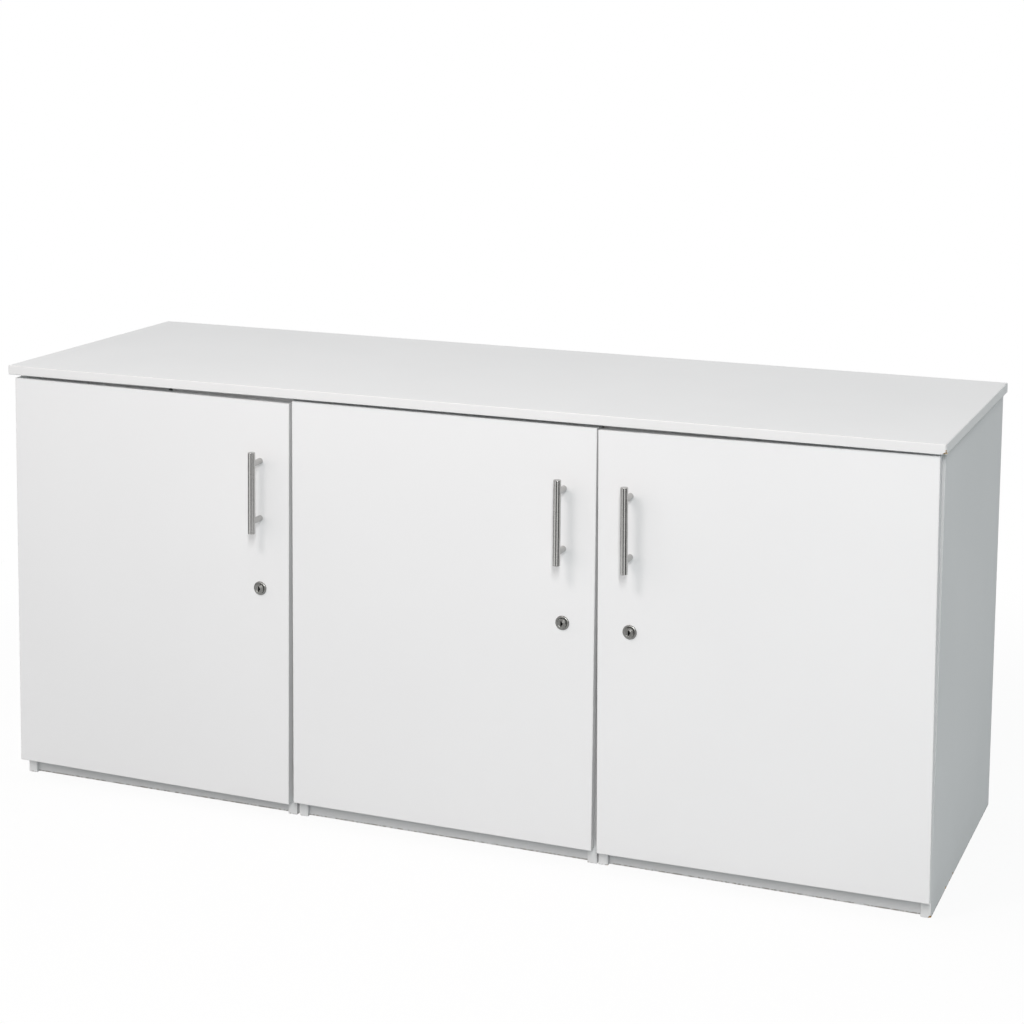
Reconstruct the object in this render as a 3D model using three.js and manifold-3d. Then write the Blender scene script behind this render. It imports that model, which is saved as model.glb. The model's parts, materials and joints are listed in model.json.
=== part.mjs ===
// Three-door office credenza: three single-door cupboards bolted side by side under one long top.
// Millimetres, +Z up, front towards -Y. The origin is on the floor at the middle of the whole box.

import * as THREE from 'three';
import { mergeVertices } from 'three/addons/utils/BufferGeometryUtils.js';
import Module from 'manifold-3d';

// Driving dimensions: carcasses and top
const height = 730;
const board = 16;
const unitWidth = 528;
const leftUnitGap = 4.5;
const rightUnitGap = 2.5;
const carcassDepth = 500;
const topFrontOverhang = 29;
const topBackOverhang = 6;
const topEndOverhang = 6;
const plinthHeight = 32;
const plinthRecess = 6;
const plinthFloorClearance = 1;
const railDepth = 100;
const backThickness = 4;
const backInset = 12;
const grooveDepth = 6;
const shelfHeight = 356;
const shelfSetback = 30;
const shelfBackClearance = 10;
const shelfEndClearance = 1.5;
const shelfPinRadius = 2.5;
const shelfPinLength = 8;
const shelfPinInset = 60;
const jointGap = 0.1;

// Driving dimensions: doors, which each hang slightly out of true, two of them a little higher
const doorThickness = 16;
const doorGap = 6;
const doorBottom = 29;
const doorTopReveal = 5.8;
const hingeEdgeReveal = 1;
const freeEdgeReveal = 1.5;
const leftDoorSag = 0.45;
const middleDoorSag = 0.1;
const rightDoorSag = 0.47;
const middleDoorLift = 0.8;
const rightDoorLift = 2;

// Driving dimensions: bar handles
const handleLength = 136;
const handleCentres = 96;
const handleRadius = 6;
const handlePostRadius = 5;
const handleStandOff = 30;
const handleEdgeInset = 53;
const handleDrop = 147.5;
const handleEndChamfer = 0.6;

// Driving dimensions: cam locks
const lockBelowHandle = 167;
const lockFlangeRadius = 11.5;
const lockFlangeThickness = 2.2;
const lockBarrelRadius = 9.5;
const lockTailLength = 13;
const plugFaceRadius = 8;
const plugFaceThickness = 3.2;
const plugRadius = 6;
const plugTailRadius = 3;
const plugTailReach = 1.5;
const keySlotWidth = 2.6;
const keySlotHeight = 8.6;
const keySlotDepth = 6;
const camWidth = 14;
const camThickness = 2;
const camEngagement = 8;
const camPocketClearance = 2;

// Driving dimensions: hidden cup hinges
const upperHingeInset = 104;
const lowerHingeInset = 65;
const cupRadius = 17.5;
const cupEdgeTab = 3;
const cupWall = 0.8;
const cupFloorSkin = 3.2;
const cupFlangeLength = 62;
const cupFlangeWidth = 17;
const cupFlangeThickness = 1.2;
const pinRadius = 1.3;
const eyeWall = 1;
const eyeClearance = 0.8;
const armWidth = 14;
const neckThickness = 2;
const neckReach = 8.8;
const neckBendRadius = 5.5;
const neckLean = 5;
const armThickness = 8;
const armLength = 46;
const plateThickness = 3;
const plateLength = 34;
const plateWidth = 50;
const plateSetback = 10;

// Driving dimensions: bolts that hold the cupboards together
const boltRadius = 4;
const boltHeadRadius = 8.5;
const boltHeadThickness = 3;
const boltDrop = 94;

// Running and fitting clearance, and the fineness of round pieces
const clearance = 0.3;
const roundSides = 24;
const smallRoundSides = 12;
const bendSteps = 5;
const weldTolerance = 1e-4;

// Sizes that follow from the driving dimensions
const carcassHeight = height - board;
const carcassWidth = 3 * unitWidth + leftUnitGap + rightUnitGap;
const doorWidth = unitWidth - hingeEdgeReveal - freeEdgeReveal;
const doorTop = carcassHeight - doorTopReveal;
const doorOffset = doorThickness + doorGap;
const frontReach = doorOffset + handleStandOff + handleRadius;
const carcassFront = (frontReach - carcassDepth - topBackOverhang) / 2;
const doorFront = carcassFront - doorOffset;
const backPanelFront = carcassDepth - backInset - backThickness;
const cupCentre = cupEdgeTab + cupRadius;
const cupInnerRadius = cupRadius - cupWall;
const eyeRadius = pinRadius + clearance + eyeWall;
const pinDepth = cupFloorSkin + cupWall + clearance + eyeRadius;
const eyeSagitta = cupInnerRadius - Math.sqrt(cupInnerRadius ** 2 - (armWidth / 2) ** 2);
const pinInset = cupEdgeTab + cupWall + eyeSagitta + eyeClearance + eyeRadius;
const upperHingeHeight = doorTop - upperHingeInset;
const lowerHingeHeight = doorBottom + lowerHingeInset;
const sagCentreHeight = (upperHingeHeight + lowerHingeHeight) / 2;
const handleCentreHeight = doorTop - handleDrop;
const lockHeight = handleCentreHeight - lockBelowHandle;
const lockInset = doorWidth - handleEdgeInset;
const boltHeight = carcassHeight - boltDrop;
const lockTailEnd = doorThickness + lockTailLength;
const camFront = lockTailEnd + clearance;

const leftUnitX = -carcassWidth / 2;
const middleUnitX = leftUnitX + unitWidth + leftUnitGap;
const rightUnitX = middleUnitX + unitWidth + rightUnitGap;

// A unit's hand is 1 where the door hangs on the unit's left side and -1 where it hangs on the right.
const units = [
  { name: 'left', x: leftUnitX, hand: 1, sag: leftDoorSag, lift: 0 },
  { name: 'middle', x: middleUnitX, hand: 1, sag: middleDoorSag, lift: middleDoorLift },
  { name: 'right', x: rightUnitX, hand: -1, sag: rightDoorSag, lift: rightDoorLift },
];

const wasm = await Module();
wasm.setup();

// Finishes
const finishes = {
  whiteBoard: { color: 0xe9eaec, roughness: 0.5, metalness: 0 },
  backBoard: { color: 0xdcdcdc, roughness: 0.7, metalness: 0 },
  brushedSteel: { color: 0xa9a9a7, roughness: 0.35, metalness: 1 },
  nickel: { color: 0xb9b8b4, roughness: 0.25, metalness: 1 },
  zincSteel: { color: 0x9a9c9e, roughness: 0.4, metalness: 1 },
};

function material(finish) {
  return new THREE.MeshStandardMaterial(finishes[finish]);
}

// Turns a closed three.js geometry into a solid that can be cut and joined
function solid(geometry) {
  const bare = geometry.index ? geometry.toNonIndexed() : geometry;
  bare.deleteAttribute('normal');
  bare.deleteAttribute('uv');
  const welded = mergeVertices(bare, weldTolerance);
  const corners = welded.index.array;
  const kept = [];
  for (let i = 0; i < corners.length; i += 3) {
    const [a, b, c] = [corners[i], corners[i + 1], corners[i + 2]];
    if (a !== b && b !== c && c !== a) kept.push(a, b, c);
  }
  const vertProperties = new Float32Array(welded.attributes.position.array);
  const triVerts = new Uint32Array(kept);
  return new wasm.Manifold(new wasm.Mesh({ numProp: 3, vertProperties, triVerts }));
}

function meshOf(name, shape, finish) {
  const { vertProperties, triVerts } = shape.getMesh();
  const geometry = new THREE.BufferGeometry();
  geometry.setAttribute('position', new THREE.BufferAttribute(new Float32Array(vertProperties), 3));
  geometry.setIndex(new THREE.BufferAttribute(new Uint32Array(triVerts), 1));
  geometry.computeVertexNormals();
  const mesh = new THREE.Mesh(geometry, material(finish));
  mesh.name = name;
  return mesh;
}

// A box between two corners
function box(low, high) {
  const size = high.map((value, i) => value - low[i]);
  const geometry = new THREE.BoxGeometry(...size);
  geometry.translate(...low.map((value, i) => value + size[i] / 2));
  return solid(geometry);
}

// A round solid about the Y axis, from pairs of radius and y
function turnedGeometry(profile, sides) {
  const points = profile.map(([radius, y]) => new THREE.Vector2(radius, y));
  return new THREE.LatheGeometry(points, sides);
}

function rodGeometry(radius, start, end, sides) {
  return turnedGeometry([[0, start], [radius, start], [radius, end], [0, end]], sides);
}

// A rod along Y at a place in the X-Z plane
function rodAlongY(radius, start, end, x, z, sides) {
  const geometry = rodGeometry(radius, start, end, sides);
  geometry.translate(x, 0, z);
  return solid(geometry);
}

// A rod along Z at a place in the X-Y plane
function rodAlongZ(radius, start, end, x, y, sides) {
  const geometry = rodGeometry(radius, start, end, sides);
  geometry.rotateX(Math.PI / 2);
  geometry.translate(x, y, 0);
  return solid(geometry);
}

// A rod along X at a place in the Y-Z plane, with a flat on top
function rodAlongX(radius, start, end, y, z, sides) {
  const geometry = rodGeometry(radius, start, end, sides);
  geometry.rotateY(Math.PI / sides);
  geometry.rotateZ(-Math.PI / 2);
  geometry.translate(0, y, z);
  return solid(geometry);
}

// World height of the point that a door sags and is lifted about
function hungHeight(unit) {
  return sagCentreHeight + unit.lift;
}

// Where a point of a closed door lies once the door's sag and lift are counted, in world X and Z
function sagged(unit, inset, z) {
  const angle = THREE.MathUtils.degToRad(unit.sag);
  const across = inset - pinInset;
  const up = z - sagCentreHeight;
  return {
    x: hingeEdge(unit) + unit.hand * (pinInset + across * Math.cos(angle) + up * Math.sin(angle)),
    z: hungHeight(unit) - across * Math.sin(angle) + up * Math.cos(angle),
  };
}

// World X of the door's hinge edge before it sags
function hingeEdge(unit) {
  return unit.hand > 0 ? unit.x + hingeEdgeReveal : unit.x + unitWidth - hingeEdgeReveal;
}

// World X of the inner face of the side that the lock's cam turns into
function strikeFace(unit) {
  return unit.hand > 0 ? unit.x + unitWidth - board : unit.x + board;
}

// How far the cam reaches from the lock's axis
function camReach(unit) {
  return Math.abs(strikeFace(unit) - sagged(unit, lockInset, lockHeight).x);
}

// The blind slot, in the side's inner face, that the cam swings up into
function camPocket(unit) {
  const lock = sagged(unit, lockInset, lockHeight);
  const reach = camReach(unit);
  const length = reach + camEngagement;
  const face = strikeFace(unit);
  const bottom = face + unit.hand * (camEngagement + camPocketClearance);
  const below = Math.sqrt(length ** 2 - reach ** 2) + camWidth / 2 + camPocketClearance;
  const above = camWidth / 2 + camPocketClearance;
  const mouth = face - unit.hand * board;
  const front = doorFront + camFront - camPocketClearance;
  const back = doorFront + camFront + camThickness + camPocketClearance;
  return box(
    [Math.min(mouth, bottom), front, lock.z - below],
    [Math.max(mouth, bottom), back, lock.z + above],
  );
}

// A side panel stands on the floor and has the back's groove, its shelf pins and its bolt hole.
// Facing is 1 where its inner face looks towards +X.
function sidePanel(unit, facing, bolted) {
  const outer = facing > 0 ? unit.x : unit.x + unitWidth;
  const inner = outer + facing * board;
  const front = carcassFront;
  const back = carcassFront + carcassDepth;
  let panel = box(
    [Math.min(outer, inner), front, 0],
    [Math.max(outer, inner), back, carcassHeight - jointGap],
  );
  const grooveBottom = inner - facing * grooveDepth;
  const grooveMouth = inner + facing * board;
  panel = panel.subtract(box(
    [Math.min(grooveBottom, grooveMouth), front + backPanelFront - clearance, -board],
    [Math.max(grooveBottom, grooveMouth), front + backPanelFront + backThickness + clearance, height],
  ));
  if (unit.hand !== facing) panel = panel.subtract(camPocket(unit));
  const pinDrop = shelfPinRadius * Math.cos(Math.PI / smallRoundSides);
  const pinHeight = shelfHeight - jointGap - pinDrop;
  const shelfFront = front + shelfSetback;
  const shelfBack = front + backPanelFront - shelfBackClearance;
  for (const y of [shelfFront + shelfPinInset, shelfBack - shelfPinInset]) {
    const buried = inner - facing * board / 2;
    const tip = inner + facing * shelfPinLength;
    const [start, end] = [Math.min(buried, tip), Math.max(buried, tip)];
    panel = panel.add(rodAlongX(shelfPinRadius, start, end, y, pinHeight, smallRoundSides));
  }
  if (bolted) {
    const [start, end] = [Math.min(outer, inner) - board, Math.max(outer, inner) + board];
    const y = carcassFront + carcassDepth / 2;
    panel = panel.subtract(rodAlongX(boltRadius + clearance, start, end, y, boltHeight, roundSides));
  }
  return panel;
}

function addCarcass(group, unit, boltedLeft, boltedRight) {
  const left = unit.x + board + jointGap;
  const right = unit.x + unitWidth - board - jointGap;
  const front = carcassFront;
  const backFront = carcassFront + backPanelFront;
  const railBottom = carcassHeight - board;
  const railTop = carcassHeight - jointGap;
  const baseTop = plinthHeight + board;
  const place = (piece, shape, finish = 'whiteBoard') => {
    group.add(meshOf(`${unit.name}_unit_${piece}`, shape, finish));
  };
  place('left_side', sidePanel(unit, 1, boltedLeft));
  place('right_side', sidePanel(unit, -1, boltedRight));
  place('base', box([left, front, plinthHeight], [right, backFront - clearance, baseTop]));
  place('plinth', box(
    [left, front + plinthRecess, plinthFloorClearance],
    [right, front + plinthRecess + board, plinthHeight - jointGap],
  ));
  place('front_rail', box([left, front, railBottom], [right, front + railDepth, railTop]));
  place('rear_rail', box(
    [left, backFront - clearance - railDepth, railBottom],
    [right, backFront - clearance, railTop],
  ));
  const tongue = grooveDepth - clearance;
  place('back', box(
    [left - tongue, backFront, plinthHeight],
    [right + tongue, backFront + backThickness, railTop],
  ), 'backBoard');
  place('shelf', box(
    [unit.x + board + shelfEndClearance, front + shelfSetback, shelfHeight],
    [unit.x + unitWidth - board - shelfEndClearance, backFront - shelfBackClearance, shelfHeight + board],
  ));
}

// The door's own frame has its origin on the hinge pin, X away from the hinge edge for either hand,
// and Y backwards from the pin.
function doorPanel(unit) {
  const across = (inset) => unit.hand * (inset - pinInset);
  const deep = (depth) => depth - pinDepth;
  const up = (z) => z - sagCentreHeight;
  const [start, end] = [across(0), across(doorWidth)].sort((a, b) => a - b);
  let panel = box(
    [start, deep(0), up(doorBottom)],
    [end, deep(doorThickness), up(doorTop)],
  );
  const beyond = board;
  for (const z of [upperHingeHeight, lowerHingeHeight]) {
    const radius = cupRadius + clearance;
    const floor = deep(cupFloorSkin - clearance);
    panel = panel.subtract(
      rodAlongY(radius, floor, deep(doorThickness + beyond), across(cupCentre), up(z), roundSides),
    );
  }
  const lockRadius = lockBarrelRadius + clearance;
  panel = panel.subtract(rodAlongY(
    lockRadius, deep(-beyond), deep(doorThickness + beyond), across(lockInset), up(lockHeight), roundSides,
  ));
  return panel;
}

// The steel cup in the door, with its screw flange and the hinge pin across it.
// X runs from the pin away from the hinge edge, Y backwards, and Z is up from the hinge's middle.
function hingeCup() {
  const centre = cupCentre - pinInset;
  const floor = cupFloorSkin - pinDepth;
  const back = doorThickness - pinDepth;
  const rim = back + jointGap + cupFlangeThickness;
  const barrel = rodAlongY(cupRadius, floor, rim, centre, 0, roundSides);
  let cup = barrel.add(box(
    [centre - cupFlangeWidth / 2, back + jointGap, -cupFlangeLength / 2],
    [centre + cupFlangeWidth / 2, rim, cupFlangeLength / 2],
  ));
  cup = cup.subtract(rodAlongY(cupInnerRadius, floor + cupWall, rim + board, centre, 0, roundSides));
  const pin = rodAlongZ(pinRadius, -cupRadius, cupRadius, 0, 0, smallRoundSides);
  return cup.add(pin.intersect(barrel));
}

// The fixed arm: an eye round the pin, a crescent neck that clears the door's edge at every angle,
// and a straight bar on a plate that is screwed to the side. Face is the side's inner face.
function hingeArm(face) {
  const half = neckThickness / 2;
  const bendX = neckReach;
  const bendY = neckBendRadius;
  const lean = THREE.MathUtils.degToRad(neckLean);
  const along = [-Math.sin(lean), Math.cos(lean)];
  const outward = [Math.cos(lean), Math.sin(lean)];
  const armFront = doorOffset - pinDepth + clearance;
  const armBack = armFront + armLength;
  const straight = (armFront + armThickness / 2 - bendY - neckBendRadius * outward[1]) / along[1];
  const endX = bendX + neckBendRadius * outward[0] + straight * along[0];
  const endY = bendY + neckBendRadius * outward[1] + straight * along[1];
  const outline = new THREE.Shape();
  outline.moveTo(0, -half);
  outline.lineTo(bendX, -half);
  outline.absarc(bendX, bendY, neckBendRadius + half, -Math.PI / 2, lean, false);
  outline.lineTo(endX + half * outward[0], endY + half * outward[1]);
  outline.lineTo(endX - half * outward[0], endY - half * outward[1]);
  outline.absarc(bendX, bendY, neckBendRadius - half, lean, -Math.PI / 2, true);
  outline.lineTo(0, half);
  const neck = new THREE.ExtrudeGeometry(outline, {
    depth: armWidth, bevelEnabled: false, curveSegments: bendSteps,
  });
  neck.translate(0, 0, -armWidth / 2);
  let arm = solid(neck);
  arm = arm.add(rodAlongZ(eyeRadius, -armWidth / 2, armWidth / 2, 0, 0, smallRoundSides));
  const bore = rodAlongZ(pinRadius + clearance, -armWidth, armWidth, 0, 0, smallRoundSides);
  arm = arm.subtract(bore);
  const barLow = endX - armThickness / 2;
  arm = arm.add(box(
    [barLow, armFront, -armWidth / 2],
    [barLow + armThickness, armBack, armWidth / 2],
  ));
  arm = arm.add(box(
    [face + jointGap, armFront + plateSetback, -armWidth / 2],
    [barLow + armThickness / 2, armFront + plateSetback + plateLength, armWidth / 2],
  ));
  return arm.add(box(
    [face + jointGap, armFront + plateSetback, -plateWidth / 2],
    [face + jointGap + plateThickness, armFront + plateSetback + plateLength, plateWidth / 2],
  ));
}

// A mesh placed for either hand: these shapes are alike above and below their middle,
// so half a turn about Y gives the opposite hand.
function handed(mesh, unit) {
  if (unit.hand < 0) mesh.rotation.y = Math.PI;
  return mesh;
}

function addHinges(group, doorGroup, unit) {
  const heights = [['upper', upperHingeHeight], ['lower', lowerHingeHeight]];
  for (const [where, z] of heights) {
    const cup = handed(meshOf(`${unit.name}_${where}_hinge_cup`, hingeCup(), 'nickel'), unit);
    cup.position.set(0, 0, z - sagCentreHeight);
    doorGroup.add(cup);
    const pin = sagged(unit, pinInset, z);
    const sideFace = unit.hand > 0 ? unit.x + board : unit.x + unitWidth - board;
    const face = unit.hand * (sideFace - pin.x);
    const arm = handed(meshOf(`${unit.name}_${where}_hinge_arm`, hingeArm(face), 'nickel'), unit);
    arm.position.set(pin.x, doorFront + pinDepth, pin.z);
    group.add(arm);
  }
}

function addHandle(doorGroup, unit) {
  const x = unit.hand * (lockInset - pinInset);
  const middle = handleCentreHeight - sagCentreHeight;
  const axisY = -pinDepth - handleStandOff;
  const halfLength = handleLength / 2;
  const chamfered = handleRadius - handleEndChamfer;
  const barGeometry = turnedGeometry([
    [0, -halfLength],
    [chamfered, -halfLength],
    [handleRadius, -halfLength + handleEndChamfer],
    [handleRadius, halfLength - handleEndChamfer],
    [chamfered, halfLength],
    [0, halfLength],
  ], roundSides);
  barGeometry.rotateX(Math.PI / 2);
  barGeometry.translate(x, axisY, middle);
  doorGroup.add(meshOf(`${unit.name}_handle_bar`, solid(barGeometry), 'brushedSteel'));
  const seat = rodAlongZ(
    handleRadius + clearance, middle - handleLength, middle + handleLength, x, axisY, roundSides,
  );
  for (const [where, z] of [['upper', middle + handleCentres / 2], ['lower', middle - handleCentres / 2]]) {
    const post = rodAlongY(handlePostRadius, axisY, -pinDepth - jointGap, x, z, roundSides);
    const saddled = post.subtract(seat);
    doorGroup.add(meshOf(`${unit.name}_handle_${where}_post`, saddled, 'brushedSteel'));
  }
}

function addLock(doorGroup, unit) {
  const x = unit.hand * (lockInset - pinInset);
  const z = lockHeight - sagCentreHeight;
  const deep = (depth) => depth - pinDepth;
  const placed = (name, shape, finish) => {
    const mesh = meshOf(`${unit.name}_lock_${name}`, shape, finish);
    mesh.position.set(x, 0, z);
    doorGroup.add(mesh);
  };
  const flangeFront = deep(-jointGap - lockFlangeThickness);
  const tailEnd = deep(lockTailEnd);
  const housing = solid(turnedGeometry([
    [plugRadius + clearance, flangeFront],
    [lockFlangeRadius - lockFlangeThickness / 2, flangeFront],
    [lockFlangeRadius, flangeFront + lockFlangeThickness / 2],
    [lockFlangeRadius, deep(-jointGap)],
    [lockBarrelRadius, deep(-jointGap)],
    [lockBarrelRadius, tailEnd],
    [plugRadius + clearance, tailEnd],
    [plugRadius + clearance, flangeFront],
  ], roundSides));
  placed('housing', housing, 'nickel');
  const faceBack = flangeFront - clearance;
  const faceFront = faceBack - plugFaceThickness;
  const camBack = deep(camFront + camThickness);
  const plug = solid(turnedGeometry([
    [0, faceFront],
    [plugFaceRadius - plugFaceThickness / 3, faceFront],
    [plugFaceRadius, faceFront + plugFaceThickness / 3],
    [plugFaceRadius, faceBack],
    [plugRadius, faceBack],
    [plugRadius, tailEnd],
    [plugTailRadius, tailEnd],
    [plugTailRadius, camBack + plugTailReach],
    [0, camBack + plugTailReach],
  ], roundSides));
  const slot = box(
    [-keySlotWidth / 2, faceFront - keySlotDepth, -keySlotHeight / 2],
    [keySlotWidth / 2, faceFront + keySlotDepth, keySlotHeight / 2],
  );
  placed('plug', plug.subtract(slot), 'nickel');
  const camLength = camReach(unit) + camEngagement;
  const blade = box(
    [-camWidth / 2, deep(camFront), -camLength + camWidth / 2],
    [camWidth / 2, camBack, 0],
  );
  const root = rodAlongY(camWidth / 2, deep(camFront), camBack, 0, 0, roundSides);
  const tip = rodAlongY(camWidth / 2, deep(camFront), camBack, 0, -camLength + camWidth / 2, roundSides);
  const hole = rodAlongY(
    plugTailRadius + clearance, tailEnd, camBack + board, 0, 0, roundSides,
  );
  placed('cam', blade.add(root).add(tip).subtract(hole), 'zincSteel');
}

function addDoor(group, unit) {
  const doorGroup = new THREE.Group();
  doorGroup.position.set(
    hingeEdge(unit) + unit.hand * pinInset, doorFront + pinDepth, hungHeight(unit),
  );
  doorGroup.rotation.y = unit.hand * THREE.MathUtils.degToRad(unit.sag);
  group.add(doorGroup);
  doorGroup.add(meshOf(`${unit.name}_door`, doorPanel(unit), 'whiteBoard'));
  addHinges(group, doorGroup, unit);
  addHandle(doorGroup, unit);
  addLock(doorGroup, unit);
}

// A bolt through two neighbouring sides, with a flat head inside each cupboard
function addConnector(group, name, leftUnit, rightUnit) {
  const leftFace = leftUnit.x + unitWidth - board - jointGap;
  const rightFace = rightUnit.x + board + jointGap;
  const geometry = turnedGeometry([
    [0, leftFace - boltHeadThickness],
    [boltHeadRadius, leftFace - boltHeadThickness],
    [boltHeadRadius, leftFace],
    [boltRadius, leftFace],
    [boltRadius, rightFace],
    [boltHeadRadius, rightFace],
    [boltHeadRadius, rightFace + boltHeadThickness],
    [0, rightFace + boltHeadThickness],
  ], roundSides);
  geometry.rotateZ(-Math.PI / 2);
  geometry.translate(0, carcassFront + carcassDepth / 2, boltHeight);
  group.add(meshOf(name, solid(geometry), 'zincSteel'));
}

const credenza = new THREE.Group();
const halfTop = carcassWidth / 2 + topEndOverhang;
const topShape = box(
  [-halfTop, carcassFront - topFrontOverhang, carcassHeight],
  [halfTop, carcassFront + carcassDepth + topBackOverhang, height],
);
credenza.add(meshOf('top_panel', topShape, 'whiteBoard'));
units.forEach((unit, i) => {
  addCarcass(credenza, unit, i > 0, i < units.length - 1);
  addDoor(credenza, unit);
});
addConnector(credenza, 'left_unit_connector', units[0], units[1]);
addConnector(credenza, 'right_unit_connector', units[1], units[2]);

export default credenza;
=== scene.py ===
"""Looks of a three-door office credenza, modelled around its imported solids.

Metres, +Z up, the front towards -Y. Pieces on a door are modelled upright and then hung with the
door's own small sag.
"""

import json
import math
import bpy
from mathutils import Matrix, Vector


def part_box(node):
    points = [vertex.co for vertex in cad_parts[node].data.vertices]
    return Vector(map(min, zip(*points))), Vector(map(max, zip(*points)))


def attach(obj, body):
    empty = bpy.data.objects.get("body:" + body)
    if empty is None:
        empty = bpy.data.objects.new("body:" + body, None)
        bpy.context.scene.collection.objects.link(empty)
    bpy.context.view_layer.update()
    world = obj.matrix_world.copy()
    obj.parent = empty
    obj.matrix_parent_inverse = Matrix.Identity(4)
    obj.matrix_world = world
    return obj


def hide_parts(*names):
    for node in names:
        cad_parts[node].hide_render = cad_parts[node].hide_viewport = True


bl_info = {
    "name": "Office credenza",
    "version": (1, 0, 0),
    "blender": (4, 5, 0),
    "location": "3D View > Sidebar > Credenza",
    "description": "Models the boards, doors, handles, locks and hinges of a three-door office credenza",
    "category": "Add Mesh",
}

from contextlib import contextmanager
from functools import cached_property

import bmesh
import bpy
from bpy.props import FloatProperty, FloatVectorProperty, IntProperty, PointerProperty
from mathutils import Matrix, Vector

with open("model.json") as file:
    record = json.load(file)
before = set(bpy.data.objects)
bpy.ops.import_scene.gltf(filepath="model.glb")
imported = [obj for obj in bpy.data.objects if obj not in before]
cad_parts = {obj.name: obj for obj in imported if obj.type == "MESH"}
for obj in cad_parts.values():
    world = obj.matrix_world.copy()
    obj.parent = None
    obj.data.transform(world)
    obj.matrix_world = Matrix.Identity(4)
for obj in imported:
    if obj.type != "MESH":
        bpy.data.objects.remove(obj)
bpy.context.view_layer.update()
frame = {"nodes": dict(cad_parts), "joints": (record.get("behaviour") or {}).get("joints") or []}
MM = 0.001
SAME_PLACE = 0.001 * MM
UNITS = ("left", "middle", "right")
HEIGHTS = ("upper", "lower")
JOINTS = {joint["name"]: joint for joint in frame["joints"]}
TOP_LOW, TOP_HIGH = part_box("top_panel")
BOARD = TOP_HIGH.z - TOP_LOW.z
CARCASS = "carcass"
X, Y, Z = 0, 1, 2
HEXAGON = 6
WHITE = (1, 1, 1, 1)


# Sizes and colours that a user may change


def number(name, description, default, **settings):
    """A number property, with what else it is given, such as its lowest value or its unit."""
    return FloatProperty(name=name, description=description, default=default, **settings)


def factor(name, description, default):
    """A property between 0 and 1."""
    return number(name, description, default, min=0, max=1, subtype="FACTOR")


def length(name, description, millimetres):
    """A length property whose default is given in millimetres."""
    return number(name, description, millimetres * MM, unit="LENGTH", precision=5)


def angle(name, description, degrees):
    """An angle property whose default is given in degrees."""
    return number(name, description, math.radians(degrees), unit="ROTATION", subtype="ANGLE")


def count(name, description, default, least):
    """A property that counts something."""
    return IntProperty(name=name, description=description, default=default, min=least)


def colour(name, description, *shade):
    """A colour property, in linear values."""
    return FloatVectorProperty(
        name=name, description=description, default=(*shade, 1), size=4, min=0, max=1, subtype="COLOR"
    )


def position(name, description, *point):
    """A place in the scene, in metres."""
    return FloatVectorProperty(
        name=name, description=description, default=point, subtype="TRANSLATION", unit="LENGTH"
    )


def direction(name, description, *axis):
    """A direction property, towards where a light comes from."""
    return FloatVectorProperty(name=name, description=description, default=axis, subtype="DIRECTION")


class CredenzaBoards(bpy.types.PropertyGroup):
    """Sizes of the boards' edges, holes and wear"""

    top_band: length("Top edge band", "Thickness of the band round the top", 2.2)
    top_radius: length("Top edge radius", "Rounding of the top's edges", 1.6)
    top_corner: length("Top corner radius", "Rounding of the top's upright corners", 3.2)
    edge_band: length("Edge band", "Thickness of the band on the other boards", 1.0)
    edge_radius: length("Edge radius", "Rounding of the other boards' edges", 0.8)
    band_joint: length("Band joint", "Width of the glue line beside a band", 0.15)
    edge_steps: count("Edge steps", "Faces across a rounded edge", 3, 1)
    sheet_radius: length("Back sheet radius", "Rounding of the thin back sheets' edges", 0.4)
    groove_clearance: length("Groove clearance", "Play of a back sheet in its groove", 0.3)
    hole_radius: length("Hole radius", "Radius of the shelf pin holes", 2.5)
    hole_depth: length("Hole depth", "Depth of the shelf pin holes", 11)
    hole_pitch: length("Hole pitch", "Height between two shelf pin holes", 32)
    holes_each_way: count("Holes each way", "Shelf pin holes above and below the shelf's own", 4, 0)
    pin_inset: length("Pin inset", "Distance of the shelf pins from the shelf's edges", 60)
    pin_reach: length("Pin reach", "How far a shelf pin stands out of its side", 7.6)
    pin_collar_radius: length("Pin collar radius", "Radius of a shelf pin's collar", 4)
    pin_collar: length("Pin collar", "Thickness of a shelf pin's collar", 1.2)
    pocket_clearance: length("Cam slot clearance", "Play round a lock's cam in its slot", 2)
    stop_radius: length("Door stop radius", "Radius of the rubber stop on the left front rail", 3.6)
    stop_reach: length("Door stop reach", "How far the rubber stop stands out", 5.4)
    stop_offset: length("Door stop place", "Distance of the stop from the rail's middle", 33)
    stop_drop: length("Door stop drop", "Distance of the stop below the rail's top", 9.4)


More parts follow.
